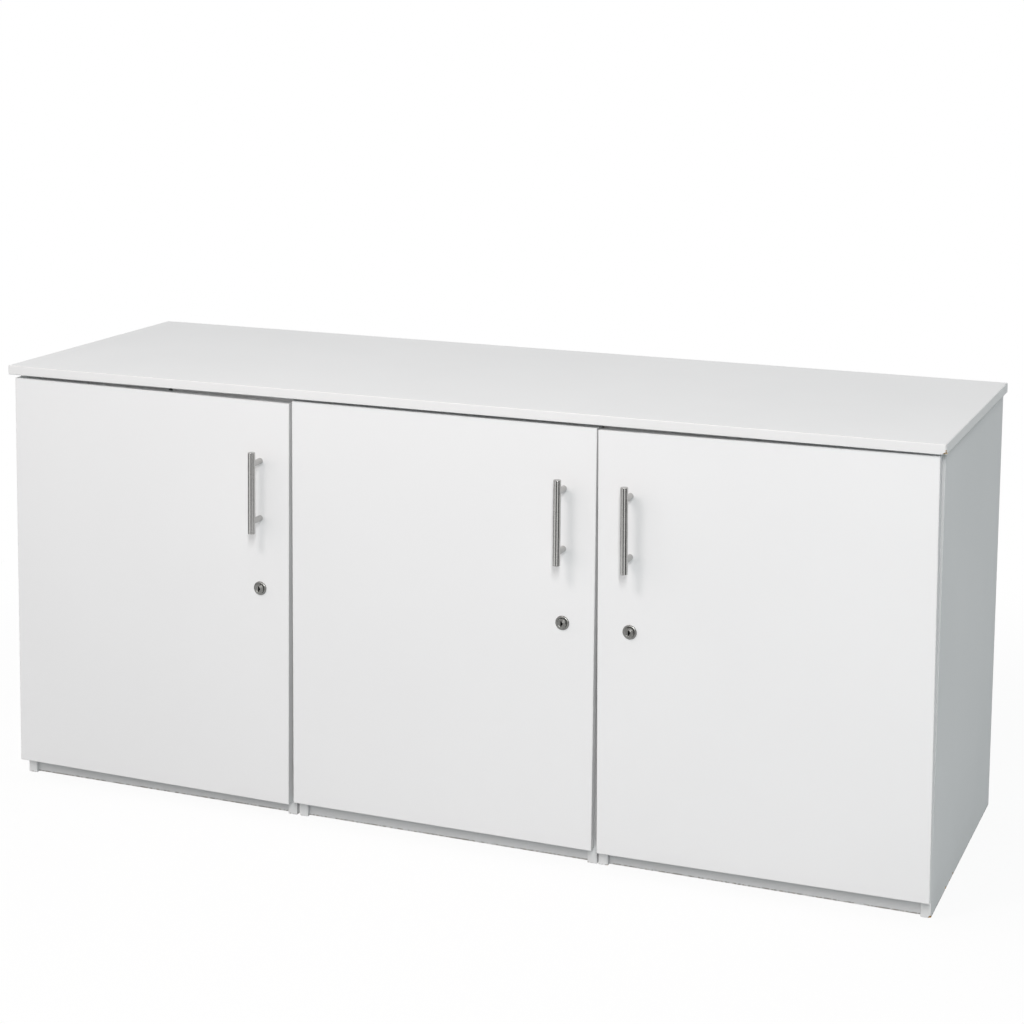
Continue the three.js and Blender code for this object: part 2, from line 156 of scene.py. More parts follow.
class CredenzaFittings(bpy.types.PropertyGroup):
    """Sizes of the handles, locks, hinges, screws and bolts"""

    handle_chamfer: length("Handle chamfer", "Chamfer of a handle bar's ends", 0.7)
    handle_dimple: length("Handle dimple", "Depth of the turned centre in a bar's ends", 0.25)
    post_chamfer: length("Post chamfer", "Chamfer where a handle post meets the door", 0.4)
    flange_recess: length("Flange recess", "Depth of the dish round a lock's plug", 0.9)
    flange_dome: length("Flange dome", "Width of the domed part of a lock's flange", 3.0)
    flange_rise: length("Flange rise", "Height of the domed part of a lock's flange", 1.9)
    plug_chamfer: length("Plug chamfer", "Chamfer round the plug's face", 1.2)
    plug_ring: length("Plug ring radius", "Radius of the fine groove in the plug's face", 4.9)
    plug_ring_depth: length("Plug ring depth", "Depth of the fine groove in the plug's face", 0.35)
    key_width: length("Key slot width", "Width of the key slot", 2.3)
    key_height: length("Key slot height", "Height of the key slot", 9.2)
    key_depth: length("Key slot depth", "Depth of the key slot", 6)
    key_ward: length("Key ward", "How far the key slot's middle stands to one side", 1.5)
    key_ward_height: length("Key ward height", "Height of the key slot's middle", 3.6)
    nut_radius: length("Lock nut radius", "Radius across the corners of a lock's nut", 13.5)
    nut_thickness: length("Lock nut thickness", "Thickness of a lock's nut", 4)
    cam_hole: length("Cam hole radius", "Radius of the hole in a lock's cam", 3.3)
    cup_wall: length("Cup wall", "Wall of a hinge cup", 0.8)
    cup_flange_width: length("Cup flange width", "Width of a hinge cup's flange", 17)
    cup_flange: length("Cup flange thickness", "Thickness of a hinge cup's flange", 1.2)
    cup_screw_inset: length("Cup screw inset", "Distance of a cup's screws from its flange's ends", 7)
    pin_radius: length("Hinge pin radius", "Radius of the hinge pin", 1.3)
    eye_radius: length("Hinge eye radius", "Outer radius of the arm's eye", 2.6)
    eye_bore: length("Hinge eye bore", "Inner radius of the arm's eye", 1.6)
    arm_width: length("Arm width", "Width of a hinge arm", 14)
    neck_thickness: length("Neck thickness", "Thickness of the arm's crescent neck", 2)
    neck_reach: length("Neck reach", "Straight part of the neck from the pin", 8.8)
    neck_bend: length("Neck bend", "Radius of the neck's bend", 5.5)
    neck_lean: angle("Neck lean", "How far the neck leans back past square", 5)
    bar_thickness: length("Arm bar thickness", "Thickness of the arm's straight bar", 8)
    bar_length: length("Arm bar length", "Length of the arm's straight bar", 46)
    plate_thickness: length("Plate thickness", "Thickness of the arm's mounting plate", 3)
    plate_length: length("Plate length", "Length of the arm's mounting plate", 34)
    plate_setback: length("Plate setback", "Distance of the plate from the bar's front", 10)
    plate_screw_height: length("Plate screw height", "Height of a plate's screws from its middle", 17)
    screw_radius: length("Screw head radius", "Radius of the small screw heads", 3.4)
    screw_height: length("Screw head height", "Height of the small screw heads", 1.5)
    handle_screw_radius: length("Handle screw radius", "Head radius of the handles' screws", 4.2)
    handle_screw_height: length("Handle screw height", "Head height of the handles' screws", 2.4)
    bolt_socket: length("Bolt socket radius", "Radius of the socket in a bolt's head", 3)
    bolt_round: length("Bolt head rounding", "Rounding of a bolt's head", 0.8)
    bolt_head: length("Bolt head thickness", "Thickness of a bolt's head", 3)
    round_sides: count("Round sides", "Sides of the larger round pieces", 48, 3)
    small_sides: count("Small sides", "Sides of the small round pieces", 24, 3)


class CredenzaColours(bpy.types.PropertyGroup):
    """Colours of the finishes"""

    melamine: colour("Melamine", "White faces of the boards", 0.80, 0.806, 0.81)
    band: colour("Edge band", "White bands on the boards' edges", 0.77, 0.775, 0.775)
    # The band joint colour also paints the shade in the seam under the top's ends
    joint: colour("Band joint", "Glue line beside a band", 0.62, 0.61, 0.585)
    core: colour("Chipboard", "Core of the boards where it is bare", 0.62, 0.36, 0.09)
    core_dark: colour("Dark chips", "Dark chips of the core", 0.17, 0.10, 0.045)
    grime: colour("Grime", "Dirt on the worn bottom edges", 0.20, 0.175, 0.145)
    sheet: colour("Back sheet", "White-faced hardboard of the backs", 0.72, 0.72, 0.705)
    steel: colour("Handle steel", "Brushed steel of the handles", 0.50, 0.495, 0.485)
    nickel: colour("Lock nickel", "Satin nickel of the locks", 0.25, 0.25, 0.24)
    hinge: colour("Hinge nickel", "Bright nickel of the hinges", 0.60, 0.59, 0.57)
    zinc: colour("Zinc", "Zinc plating of the cams, bolts, pins and screws", 0.48, 0.49, 0.50)
    # The keyway colour is painted shade: near-black for the dark inside of the key slots
    keyway: colour("Keyway", "Oiled inside of the key slots", 0.012, 0.012, 0.012)
    rubber: colour("Rubber", "Rubber of the door stop", 0.10, 0.10, 0.10)


class CredenzaStage(bpy.types.PropertyGroup):
    """Camera, lamps and surround"""

    camera_place: position("Camera place", "Where the camera stands", 1.378, -3.4046, 1.3995)
    yaw: angle("Yaw", "Turn of the camera to the left of straight back", 21.852)
    pitch: angle("Pitch", "How far the camera looks down", 7.511)
    roll: angle("Roll", "Roll of the camera", 0.386)
    lens: number("Lens", "Focal length in millimetres", 78.02, unit="CAMERA")
    shift_x: number("Shift X", "Sideways shift of the picture", 0.0061)
    shift_y: number("Shift Y", "Upward shift of the picture", -0.2402)
    sky: number("Sky", "Strength of the broad light behind", 0.98, min=0)
    sky_axis: direction("Sky axis", "Where the broad light behind comes from", 0.05, 0.85, 0.5)
    wall: number("Wall", "Strength of the broad light on the left", 1.4, min=0)
    wall_axis: direction("Wall axis", "Where the broad light on the left comes from", -0.7, -0.6, 0.3)
    main_power: number("Main lamp", "Power of the far lamp in watts", 201, min=0, unit="POWER")
    main_place: position("Main lamp place", "Where the far lamp hangs", 2.3, -5.3, 3.6)
    main_width: length("Main lamp width", "Width of the far lamp", 700)
    main_height: length("Main lamp height", "Height of the far lamp", 3600)
    key_power: number("Key lamp", "Power of the near lamp in watts", 12.5, min=0, unit="POWER")
    key_place: position("Key lamp place", "Where the near lamp hangs", -0.4, -1.8, 2.2)
    key_width: length("Key lamp width", "Width of the round near lamp", 600)
    lamp_aim: position("Lamp aim", "Where both lamps point", 0, 0, 0.4)
    cool: colour("Cool light", "Colour of the light behind", 0.89, 0.985, 1.0)
    warm: colour("Warm light", "Colour of the key lamp and the light on the left", 1.0, 0.93, 0.915)
    card_shade: factor("Card shade", "How light the dark cards look in the metal", 0.08)
    floor_colour: colour("Floor colour", "Colour of the light that the floor throws back", 0.41, 0.46, 0.47)
    floor_white: colour("Floor white", "White of the floor where its shadow shows", 0.95, 0.95, 0.95)
    floor_size: length("Floor size", "Side of the floor", 40000)
    floor_shade: factor("Floor shade", "How much of its shadow the white floor shows", 0.09)
    shade_inner: length("Shade inner reach", "How far the floor's shadow is whole", 1000)
    shade_outer: length("Shade outer reach", "How far the floor's shadow reaches", 1900)


# Modelling steps that every piece shares


def pick(piece):
    """Selects one piece alone, and makes it the active one."""
    bpy.ops.object.select_all(action="DESELECT")
    bpy.context.view_layer.objects.active = piece
    piece.select_set(True)


@contextmanager
def editing(piece):
    """Puts one piece in edit mode with nothing on it selected."""
    pick(piece)
    bpy.ops.object.mode_set(mode="EDIT")
    bpy.ops.mesh.select_all(action="DESELECT")
    yield
    bpy.ops.object.mode_set(mode="OBJECT")


def add_primitive(kind, name, **settings):
    """Adds a primitive with a name, and moves its place into its mesh."""
    bpy.ops.object.select_all(action="DESELECT")
    getattr(bpy.ops.mesh, f"primitive_{kind}_add")(**settings)
    bpy.ops.object.transform_apply(location=True, rotation=True, scale=True)
    piece = bpy.context.object
    piece.name = name
    piece.data.name = name
    return piece


def add_block(name, low, high):
    """A block between two corners."""
    low = Vector(low)
    high = Vector(high)
    return add_primitive("cube", name, size=1, location=middle_of(low, high), scale=high - low)


def add_rod(name, place, axis, ends, radius, sides):
    """A straight rod through a place, between two ends along X, Y or Z."""
    start = Vector(place)
    end = Vector(place)
    start[axis], end[axis] = ends
    return add_primitive(
        "cylinder", name, vertices=sides, radius=radius, depth=(end - start).length,
        location=middle_of(start, end), rotation=turn_to(end - start),
    )


def add_turned(name, base, axis, profile, sides, bored=False):
    """A round piece drawn out ring by ring along an axis, from pairs of radius and reach.

    A bored one has its last ring on its first. Any other one is closed by a flat face at each end.
    """
    base = Vector(base)
    axis = Vector(axis)
    first_radius, first_reach = profile[0]
    piece = add_primitive(
        "circle", name, vertices=sides, radius=first_radius, fill_type="NOTHING" if bored else "NGON",
        location=base + axis * first_reach, rotation=turn_to(axis),
    )
    with editing(piece):
        bpy.ops.mesh.select_all(action="SELECT")
        for (radius, reach), (next_radius, next_reach) in zip(profile, profile[1:]):
            step = axis * (next_reach - reach)
            bpy.ops.mesh.extrude_region_move(TRANSFORM_OT_translate={"value": step})
            share = next_radius / radius
            centre = base + axis * next_reach
            bpy.ops.transform.resize(value=(share, share, share), center_override=centre)
        tidy_faces()
    return piece


def add_ring(name, base, axis, bore, radius, reach, sides):
    """A ring or collar round an axis."""
    profile = ((bore, 0), (radius, 0), (radius, reach), (bore, reach), (bore, 0))
    return add_turned(name, base, axis, profile, sides, bored=True)


def turn_to(axis):
    """The turn that brings +Z to an axis."""
    return Vector(axis).to_track_quat("Z", "Y").to_euler()


def tidy_faces():
    """Merges doubled points and points the faces outwards, in edit mode."""
    bpy.ops.mesh.select_all(action="SELECT")
    bpy.ops.mesh.remove_doubles(threshold=0.002 * MM)
    bpy.ops.mesh.normals_make_consistent(inside=False)


def bevel_edges(piece, offset, steps, *axes):
    """Bevels the edges of a block that have one place along each of the axes."""
    with editing(piece):
        bpy.ops.mesh.select_mode(type="EDGE")
        mesh = bmesh.from_edit_mesh(piece.data)
        for edge in mesh.edges:
            start, end = edge.verts[0].co, edge.verts[1].co
            edge.select_set(all(abs(start[axis] - end[axis]) < SAME_PLACE for axis in axes))
        bmesh.update_edit_mesh(piece.data)
        bpy.ops.mesh.bevel(offset=offset, segments=steps, affect="EDGES")


def apply_modifier(piece, modifier):
    """Applies a modifier to its piece."""
    pick(piece)
    bpy.ops.object.modifier_apply(modifier=modifier.name)


def round_edges(piece, width, steps=2, sharpest=40):
    """Rounds the edges of a piece that are sharper than an angle in degrees."""
    bevel = piece.modifiers.new("round", "BEVEL")
    bevel.width = width
    bevel.segments = steps
    bevel.limit_method = "ANGLE"
    bevel.angle_limit = math.radians(sharpest)
    apply_modifier(piece, bevel)


def cut(piece, cutter):
    """Cuts one shape out of a piece. The cut faces take the cutter's material."""
    boolean = piece.modifiers.new("cut", "BOOLEAN")
    boolean.operation = "DIFFERENCE"
    boolean.solver = "EXACT"
    boolean.material_mode = "TRANSFER"
    boolean.object = cutter
    apply_modifier(piece, boolean)
    bpy.data.objects.remove(cutter)


def join(name, pieces):
    """Joins pieces into one object."""
    pick(pieces[0])
    for piece in pieces:
        piece.select_set(True)
    bpy.ops.object.join()
    pieces[0].name = name
    pieces[0].data.name = name
    return pieces[0]


def coat(piece, name):
    """Gives a whole piece one finish."""
    piece.data.materials.clear()
    piece.data.materials.append(finish(name))
    return piece


def deliver(piece, body, slot, *nodes):
    """Shades a finished piece, says what it rides on, and hides the parts that it stands for. Its slot,
    what it is made of, is not used.
    """
    pick(piece)
    bpy.ops.object.shade_smooth_by_angle(angle=math.radians(40))
    even = piece.modifiers.new("even", "WEIGHTED_NORMAL")
    even.keep_sharp = True
    apply_modifier(piece, even)
    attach(piece, body)
    if nodes:
        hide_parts(*nodes)


# Places in the frame


def hand(unit):
    """1 where a unit's door hangs on its left side, and -1 where it hangs on its right side."""
    return 1 if JOINTS[f"{unit}_door_swing"]["axis"][Z] < 0 else -1


def hinge_pin(unit):
    """The middle of a door's hinge axis."""
    return Vector(JOINTS[f"{unit}_door_swing"]["pos_m"])


def sag(unit):
    """The turn about its hinge pin that brings an upright door to its sagging place."""
    up = Vector(JOINTS[f"{unit}_door_swing"]["axis"]) * -hand(unit)
    turn = Matrix.Rotation(math.atan2(up.x, up.z), 4, "Y")
    pin = Matrix.Translation(hinge_pin(unit))
    return pin @ turn @ pin.inverted()


def box_from(place, node):
    """The corners of a node as a place sees it."""
    inverse = place.inverted()
    points = [inverse @ vertex.co for vertex in frame["nodes"][node].data.vertices]
    low = Vector([min(point[axis] for point in points) for axis in (X, Y, Z)])
    high = Vector([max(point[axis] for point in points) for axis in (X, Y, Z)])
    return low, high


def upright_box(unit, node):
    """The corners of a node on a unit's door, before the door sags."""
    return box_from(sag(unit), f"{unit}_{node}")


def middle_of(low, high):
    """The middle between two corners."""
    return (low + high) / 2


def half_width(low, high):
    """Half of the width between two corners."""
    return (high.x - low.x) / 2


# Finishes


class Value:
    """A socket in a finish's node tree. Arithmetic on it adds Math nodes."""

    def __init__(self, owner, socket):
        self.owner = owner
        self.socket = socket

    def math(self, operation, first, second):
        return self.owner.node("Math", {"operation": operation}, {0: first, 1: second})

    def __add__(self, other):
        return self.math("ADD", self, other)

    def __radd__(self, other):
        return self.math("ADD", other, self)

    def __sub__(self, other):
        return self.math("SUBTRACT", self, other)

    def __rsub__(self, other):
        return self.math("SUBTRACT", other, self)

    def __mul__(self, other):
        return self.math("MULTIPLY", self, other)

    def __rmul__(self, other):
        return self.math("MULTIPLY", other, self)


class Nodes:
    """A node tree, with one method that adds a node to it, and one that tells seen rays from others."""

    def __init__(self, tree):
        self.tree = tree
        self.tree.nodes.clear()

    def node(self, kind, settings, inputs, output=0):
        """Adds a node: its settings first, then the values or links of its sockets."""
        made = self.tree.nodes.new(f"ShaderNode{kind}")
        for key, value in settings.items():
            if key == "stops":
                self.set_stops(made.color_ramp, value)
            else:
                setattr(made, key, value)
        for key, value in inputs.items():
            if isinstance(value, Value):
                self.tree.links.new(value.socket, made.inputs[key])
            else:
                made.inputs[key].default_value = value
        return Value(self, made.outputs[output] if len(made.outputs) else None)

    def set_stops(self, ramp, stops):
        while len(ramp.elements) < len(stops):
            ramp.elements.new(1)
        for element, (share, shade) in zip(ramp.elements, stops):
            element.position = share
            element.color = shade

    def seen(self):
        """1 for rays from the camera, and for what metal and glass show."""
        camera, glossy, through = [
            self.node("LightPath", {}, {}, f"Is {ray} Ray") for ray in ("Camera", "Glossy", "Transmission")
        ]
        return camera.math("MAXIMUM", camera.math("MAXIMUM", camera, glossy), through)


class Finish(Nodes):
    """A material with a node tree of its own, and methods for the nodes that finishes share."""

    def __init__(self, name):
        self.material = bpy.data.materials.new(name)
        self.material.use_nodes = True
        self.colours = bpy.context.scene.credenza_colours
        super().__init__(self.material.node_tree)

    @cached_property
    def place(self):
        return self.node("TexCoord", {}, {}, "Object")

    def height(self):
        return self.node("SeparateXYZ", {}, {"Vector": self.place}, "Z")

    def stretched(self, scale):
        return self.node("Mapping", {}, {"Vector": self.place, "Scale": scale})

    def noise(self, scale, detail, stretch=None):
        """Soft noise, drawn out where a stretch is given."""
        place = self.stretched(stretch) if stretch else self.place
        return self.node("TexNoise", {}, {"Vector": place, "Scale": scale, "Detail": detail})

    def fade(self, value, start, end):
        """0 where the value is at start, 1 where it is at end, and smooth between."""
        settings = {"interpolation_type": "SMOOTHSTEP"}
        inputs = {"Value": value, "From Min": start, "From Max": end, "To Min": 0.0, "To Max": 1.0}
        return self.node("MapRange", settings, inputs)

    def mix(self, share, first, second):
        """A colour between two colours."""
        return self.node("Mix", {"data_type": "RGBA"}, {0: share, 6: first, 7: second}, 2)

    def mottled(self, noise, shade, darkest, lightest=1.0):
        """A colour that goes from a darker to a lighter share of itself with a noise."""
        return self.mix(self.fade(noise, 0.3, 0.7), shaded(shade, darkest), shaded(shade, lightest))

    def worn(self, height, edge, grain, flakes):
        """1 on the flakes that are worn off along a bottom edge."""
        flaking = self.noise(grain, 3.0)
        return (1 - self.fade(height, *edge)) * self.fade(flaking, *flakes)

    def bump(self, height, strength, depth):
        return self.node("Bump", {}, {"Height": height, "Strength": strength, "Distance": depth})

    def surface(self, shader):
        self.node("OutputMaterial", {}, {"Surface": shader})
        return self.material

    def coat(self, **sockets):
        """Ends the finish with one principled surface. Underscores in a socket's name stand for spaces."""
        inputs = {key.replace("_", " "): value for key, value in sockets.items()}
        return self.surface(self.node("BsdfPrincipled", {}, inputs))


def shaded(shade, share):
    """A colour times a number."""
    return (shade[0] * share, shade[1] * share, shade[2] * share, 1)


def white_melamine(name, bottom=0.0, share=1.0):
    """White melamine: a faint cloud in the white, a fine pearl in the gloss, and a worn bottom edge."""
    made = Finish(name)
    # A share below 1 darkens the whole white, which the plinths use as painted shade
    clean = shaded(made.colours.melamine, share)
    height = made.height() - bottom
    smear = made.noise(1.0, 4.0, (7.0, 7.0, 2.5))
    pearl = made.noise(850.0, 1.0)
    dust = (1 - made.fade(height, 0.0, 0.06)) * made.fade(smear, 0.35, 0.75) * 0.5
    white = made.mix(dust, made.mottled(made.noise(2.4, 3.0), clean, 0.985), shaded(clean, 0.9))
    worn = made.worn(height, (0.0004, 0.0035), 310.0, (0.44, 0.54))
    return made.coat(
        Base_Color=made.mix(worn, white, made.colours.grime[:]),
        Roughness=0.36 + 0.16 * smear + 0.3 * worn,
        Normal=made.bump(pearl - 0.6 * worn, 0.12, 0.00012),
        Specular_IOR_Level=0.3,
    )


def plinth_melamine_painted_shade(name):
    """Melamine on the plinths, its white darkened as painted shade for the shade under the doors; its worn
    bottom edges hang clear of the floor.
    """
    # A share of 0.86 darkens the white: painted shade under the doors' overhang
    return white_melamine(name, bottom=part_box("left_unit_plinth")[0].z, share=0.86)


def edge_band(name):
    """Plastic edge band: smoother than the faces, with faint scraping and a worn bottom end."""
    made = Finish(name)
    scrape = made.noise(3.0, 4.0, (90.0, 90.0, 90.0))
    white = made.mottled(made.noise(11.0, 3.0), made.colours.band, 0.98)
    worn = made.worn(made.height(), (0.0003, 0.003), 330.0, (0.5, 0.58))
    return made.coat(
        Base_Color=made.mix(worn, white, made.colours.grime[:]),
        Roughness=0.3 + 0.14 * scrape + 0.3 * worn,
        Normal=made.bump(scrape - 0.5 * worn, 0.08, 0.0001),
        Specular_IOR_Level=0.5,
    )


def band_joint(name):
    """The thin glue line between a board's face and its edge band; the same finish is painted shade in the
    seam under the top's ends.
    """
    made = Finish(name)
    joint = made.colours.joint
    grime = made.noise(140.0, 4.0)
    tone = made.mix(made.fade(grime, 0.35, 0.65), shaded(joint, 0.75), joint[:])
    return made.coat(Base_Color=tone, Roughness=0.55 + 0.2 * grime)


def chipboard(name):
    """Bare chipboard: flat chips of several browns pressed together."""
    made = Finish(name)
    core = made.colours.core
    dark = made.colours.core_dark[:]
    cells = {"Vector": made.stretched((1.0, 1.0, 1.9)), "Scale": 420.0}
    chips = made.node("TexVoronoi", {}, cells, "Color")
    gaps = made.node("TexVoronoi", {}, cells, "Distance")
    fine = made.noise(1600.0, 3.0)
    stops = [(0.0, dark), (0.35, shaded(core, 0.75)), (0.7, core[:]), (1.0, shaded(core, 1.45))]
    tone = made.node("ValToRGB", {"stops": stops}, {"Fac": chips})
    return made.coat(
        Base_Color=made.mix(0.35 * fine, tone, dark),
        Roughness=0.75 + 0.2 * fine,
        Normal=made.bump(gaps + 0.4 * fine, 0.7, 0.0006),
    )


def back_sheet(name):
    """White-faced hardboard: a dull paint over a faint fibre."""
    made = Finish(name)
    cloud = made.noise(5.0, 4.0)
    fibre = made.noise(1.0, 3.0, (260.0, 260.0, 700.0))
    return made.coat(
        Base_Color=made.mottled(cloud, made.colours.sheet, 0.96),
        Roughness=0.5 + 0.15 * cloud,
        Normal=made.bump(fibre, 0.15, 0.00015),
    )


def brushed_steel(name):
    """Stainless steel brushed round the bar, so that its fine lines lie level."""
    made = Finish(name)
    lines = made.noise(1.0, 3.0, (60.0, 60.0, 5200.0))
    smear = made.noise(55.0, 3.0)
    return made.coat(
        Base_Color=made.mottled(lines, made.colours.steel, 0.86, 1.08),
        Metallic=1.0,
        Roughness=0.12 + 0.08 * lines + 0.05 * smear,
        Normal=made.bump(lines, 0.1, 0.00004),
    )


def plated(name, metal, roughness, grain, strength):
    """A plated metal: a mottled tone with fine grain and handling marks in the gloss."""
    made = Finish(name)
    marks = made.noise(1.0, 3.0, (300.0, 900.0, 300.0))
    return made.coat(
        Base_Color=made.mottled(made.noise(190.0, 4.0), getattr(made.colours, metal), 0.85, 1.06),
        Metallic=1.0,
        Roughness=roughness + 0.12 * marks,
        Normal=made.bump(made.noise(grain, 2.0) + marks, strength, 0.00005),
    )


def lock_nickel(name):
    """Satin nickel on the locks' zinc castings."""
    return plated(name, "nickel", roughness=0.26, grain=2600.0, strength=0.2)


def hinge_nickel(name):
    """Bright nickel on the hinges' pressed steel."""
    return plated(name, "hinge", roughness=0.16, grain=1800.0, strength=0.1)


def zinc_plate(name):
    """Zinc plating on the cams, bolts, shelf pins and screws."""
    return plated(name, "zinc", roughness=0.3, grain=1400.0, strength=0.18)


def keyway(name):
    """Painted shade inside a key slot: a near-black colour that stands for the shade deep in the slot."""
    made = Finish(name)
    roughness = 0.5 + 0.3 * made.noise(900.0, 2.0)
    return made.coat(Base_Color=made.colours.keyway[:], Roughness=roughness, Specular_IOR_Level=0.2)


def stop_rubber(name):
    """Dull dark rubber with a little dust on it."""
    made = Finish(name)
    rubber = made.colours.rubber
    dust = made.noise(420.0, 4.0)
    tone = made.mix(made.fade(dust, 0.45, 0.75), rubber[:], shaded(rubber, 2.2))
    return made.coat(Base_Color=tone, Roughness=0.7 + 0.2 * dust, Normal=made.bump(dust, 0.3, 0.0002))


FINISHES = {
    "white melamine": white_melamine,
    "plinth melamine": plinth_melamine_painted_shade,
    "edge band": edge_band,
    "band joint": band_joint,
    "chipboard": chipboard,
    "back sheet": back_sheet,
    "brushed steel": brushed_steel,
    "lock nickel": lock_nickel,
    "hinge nickel": hinge_nickel,
    "zinc plate": zinc_plate,
    "keyway": keyway,
    "stop rubber": stop_rubber,
}


def finish(name):
    """The material of that name, made when it is first asked for."""
    return bpy.data.materials.get(name) or FINISHES[name](name)


# Boards

FRONT = (Y, -1)
BACK = (Y, 1)
ENDS = ((X, -1), (X, 1))
CORNER_STEPS = 5
BOARD_FINISHES = ("white melamine", "edge band", "band joint", "chipboard")
BAND, JOINT_AND_SEAM_SHADE, CORE = 1, 2, 3

# Chips off a board's corner: inwards, back and up from the corner, and reach, in millimetres
TOP_CHIPS = ((1.4, 1.4, -0.4, 5.0), (9.2, 0.3, -0.9, 2.0), (1.0, 1.0, 6.4, 1.2))
FOOT_CHIPS = {
    "right_unit_right_side": (
        (0.6, 0.2, 1.2, 3.2),
        (17.6, 0.2, 0, 2.6),
        (-2.5, 115, 1.6, 4.4),
        (-1.5, 148, 0.8, 3.0),
        (-2.5, 175, 1.8, 4.2),
    ),
    "right_unit_left_side": ((15.5, 0, 0, 1.6),),
    "middle_unit_left_side": ((0.3, 0.2, 0, 2.4),),
    "left_unit_left_side": ((0.4, 0, 0, 1.5),),
}
CHIP_ROUGHNESS = 0.16


def melamine_board(name, low, high, bands, band, radius, corner=0):
    """A board between two corners, with edge bands on some of its narrow sides.

    Each band is given as an axis and a side, -1 for the low one and 1 for the high one. A corner radius
    rounds the board's upright edges first.
    """
    boards = bpy.context.scene.credenza_boards
    piece = add_block(name, low, high)
    if corner:
        bevel_edges(piece, corner, CORNER_STEPS, X, Y)
    with editing(piece):
        for axis, side in bands:
            for depth in (band, band + boards.band_joint):
                place = Vector(low)
                place[axis] = low[axis] + depth if side < 0 else high[axis] - depth
                normal = Vector()
                normal[axis] = 1
                bpy.ops.mesh.select_all(action="SELECT")
                bpy.ops.mesh.bisect(plane_co=place, plane_no=normal)
        bpy.ops.mesh.select_all(action="DESELECT")
        bpy.ops.mesh.edges_select_sharp(sharpness=math.radians(30))
        bpy.ops.mesh.bevel(offset=radius, segments=boards.edge_steps, affect="EDGES")
    face_board(piece, low, high, bands, band)
    return piece


def face_board(piece, low, high, bands, band):
    """Gives a board's faces, bands, glue lines and bare edges their finishes."""
    joint = bpy.context.scene.credenza_boards.band_joint
    for name in BOARD_FINISHES:
        piece.data.materials.append(finish(name))
    thin = min((X, Y, Z), key=lambda axis: high[axis] - low[axis])
    for polygon in piece.data.polygons:
        depths = {}
        for axis in (X, Y, Z):
            depths[axis, -1] = polygon.center[axis] - low[axis]
            depths[axis, 1] = high[axis] - polygon.center[axis]
        bare = [depths[side] for side in depths if side not in bands and side[0] != thin]
        banded = min((depths[side] for side in bands), default=math.inf)
        if banded < band:
            polygon.material_index = BAND
        elif banded < band + joint:
            polygon.material_index = JOINT_AND_SEAM_SHADE
        elif min(bare, default=math.inf) < SAME_PLACE:
            polygon.material_index = CORE


def carcass_board(node, low, high, bands):
    """One of the thinner-banded boards of the cupboards and doors."""
    boards = bpy.context.scene.credenza_boards
    return melamine_board(f"{node}_board", low, high, bands, boards.edge_band, boards.edge_radius)


def add_front_banded(node):
    """Adds a board of a cupboard with a band on its front edge."""
    deliver(carcass_board(node, *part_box(node), (FRONT,)), CARCASS, "white_board", node)


def chip_off(piece, corner, inwards, chips):
    """Breaks chips off a board near a corner, down to its core."""
    for seed, (along, back, up, millimetres) in enumerate(chips):
        place = Vector(corner) + Vector((inwards * along, back, up)) * MM
        reach = millimetres * MM
        cutter = add_primitive("ico_sphere", "chip", subdivisions=3, radius=reach, location=place)
        with editing(cutter):
            bpy.ops.mesh.select_all(action="SELECT")
            bpy.ops.transform.vertex_random(offset=CHIP_ROUGHNESS * reach, seed=seed)
        cut(piece, coat(cutter, "chipboard"))


class CREDENZA_OT_top(bpy.types.Operator):
    """Adds the long top, with its chipped corner"""

    bl_idname = "credenza.add_top"
    bl_label = "Add top"
    end_slope = 0.3

    def execute(self, context):
        boards = context.scene.credenza_boards
        piece = melamine_board(
            "top_board", TOP_LOW, TOP_HIGH, (*ENDS, FRONT, BACK), boards.top_band, boards.top_radius,
            boards.top_corner,
        )
        chip_off(piece, (TOP_HIGH.x, TOP_LOW.y, TOP_LOW.z), -1, TOP_CHIPS)
        # The lower rounding of both ends takes the glue line's finish as painted shade: a dark line for the
        # shadow in the seam over the sides
        seam = TOP_LOW.z + boards.top_radius
        for polygon in piece.data.polygons:
            if abs(polygon.normal.x) > self.end_slope and polygon.center.z < seam:
                polygon.material_index = JOINT_AND_SEAM_SHADE
        deliver(piece, CARCASS, "white_board", "top_panel")
        return {"FINISHED"}


def shelf_pin_places(unit):
    """Where a unit's shelf pins go into its sides, as depths in Y, and their height."""
    boards = bpy.context.scene.credenza_boards
    low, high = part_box(f"{unit}_unit_shelf")
    return (low.y + boards.pin_inset, high.y - boards.pin_inset), low.z - boards.hole_radius


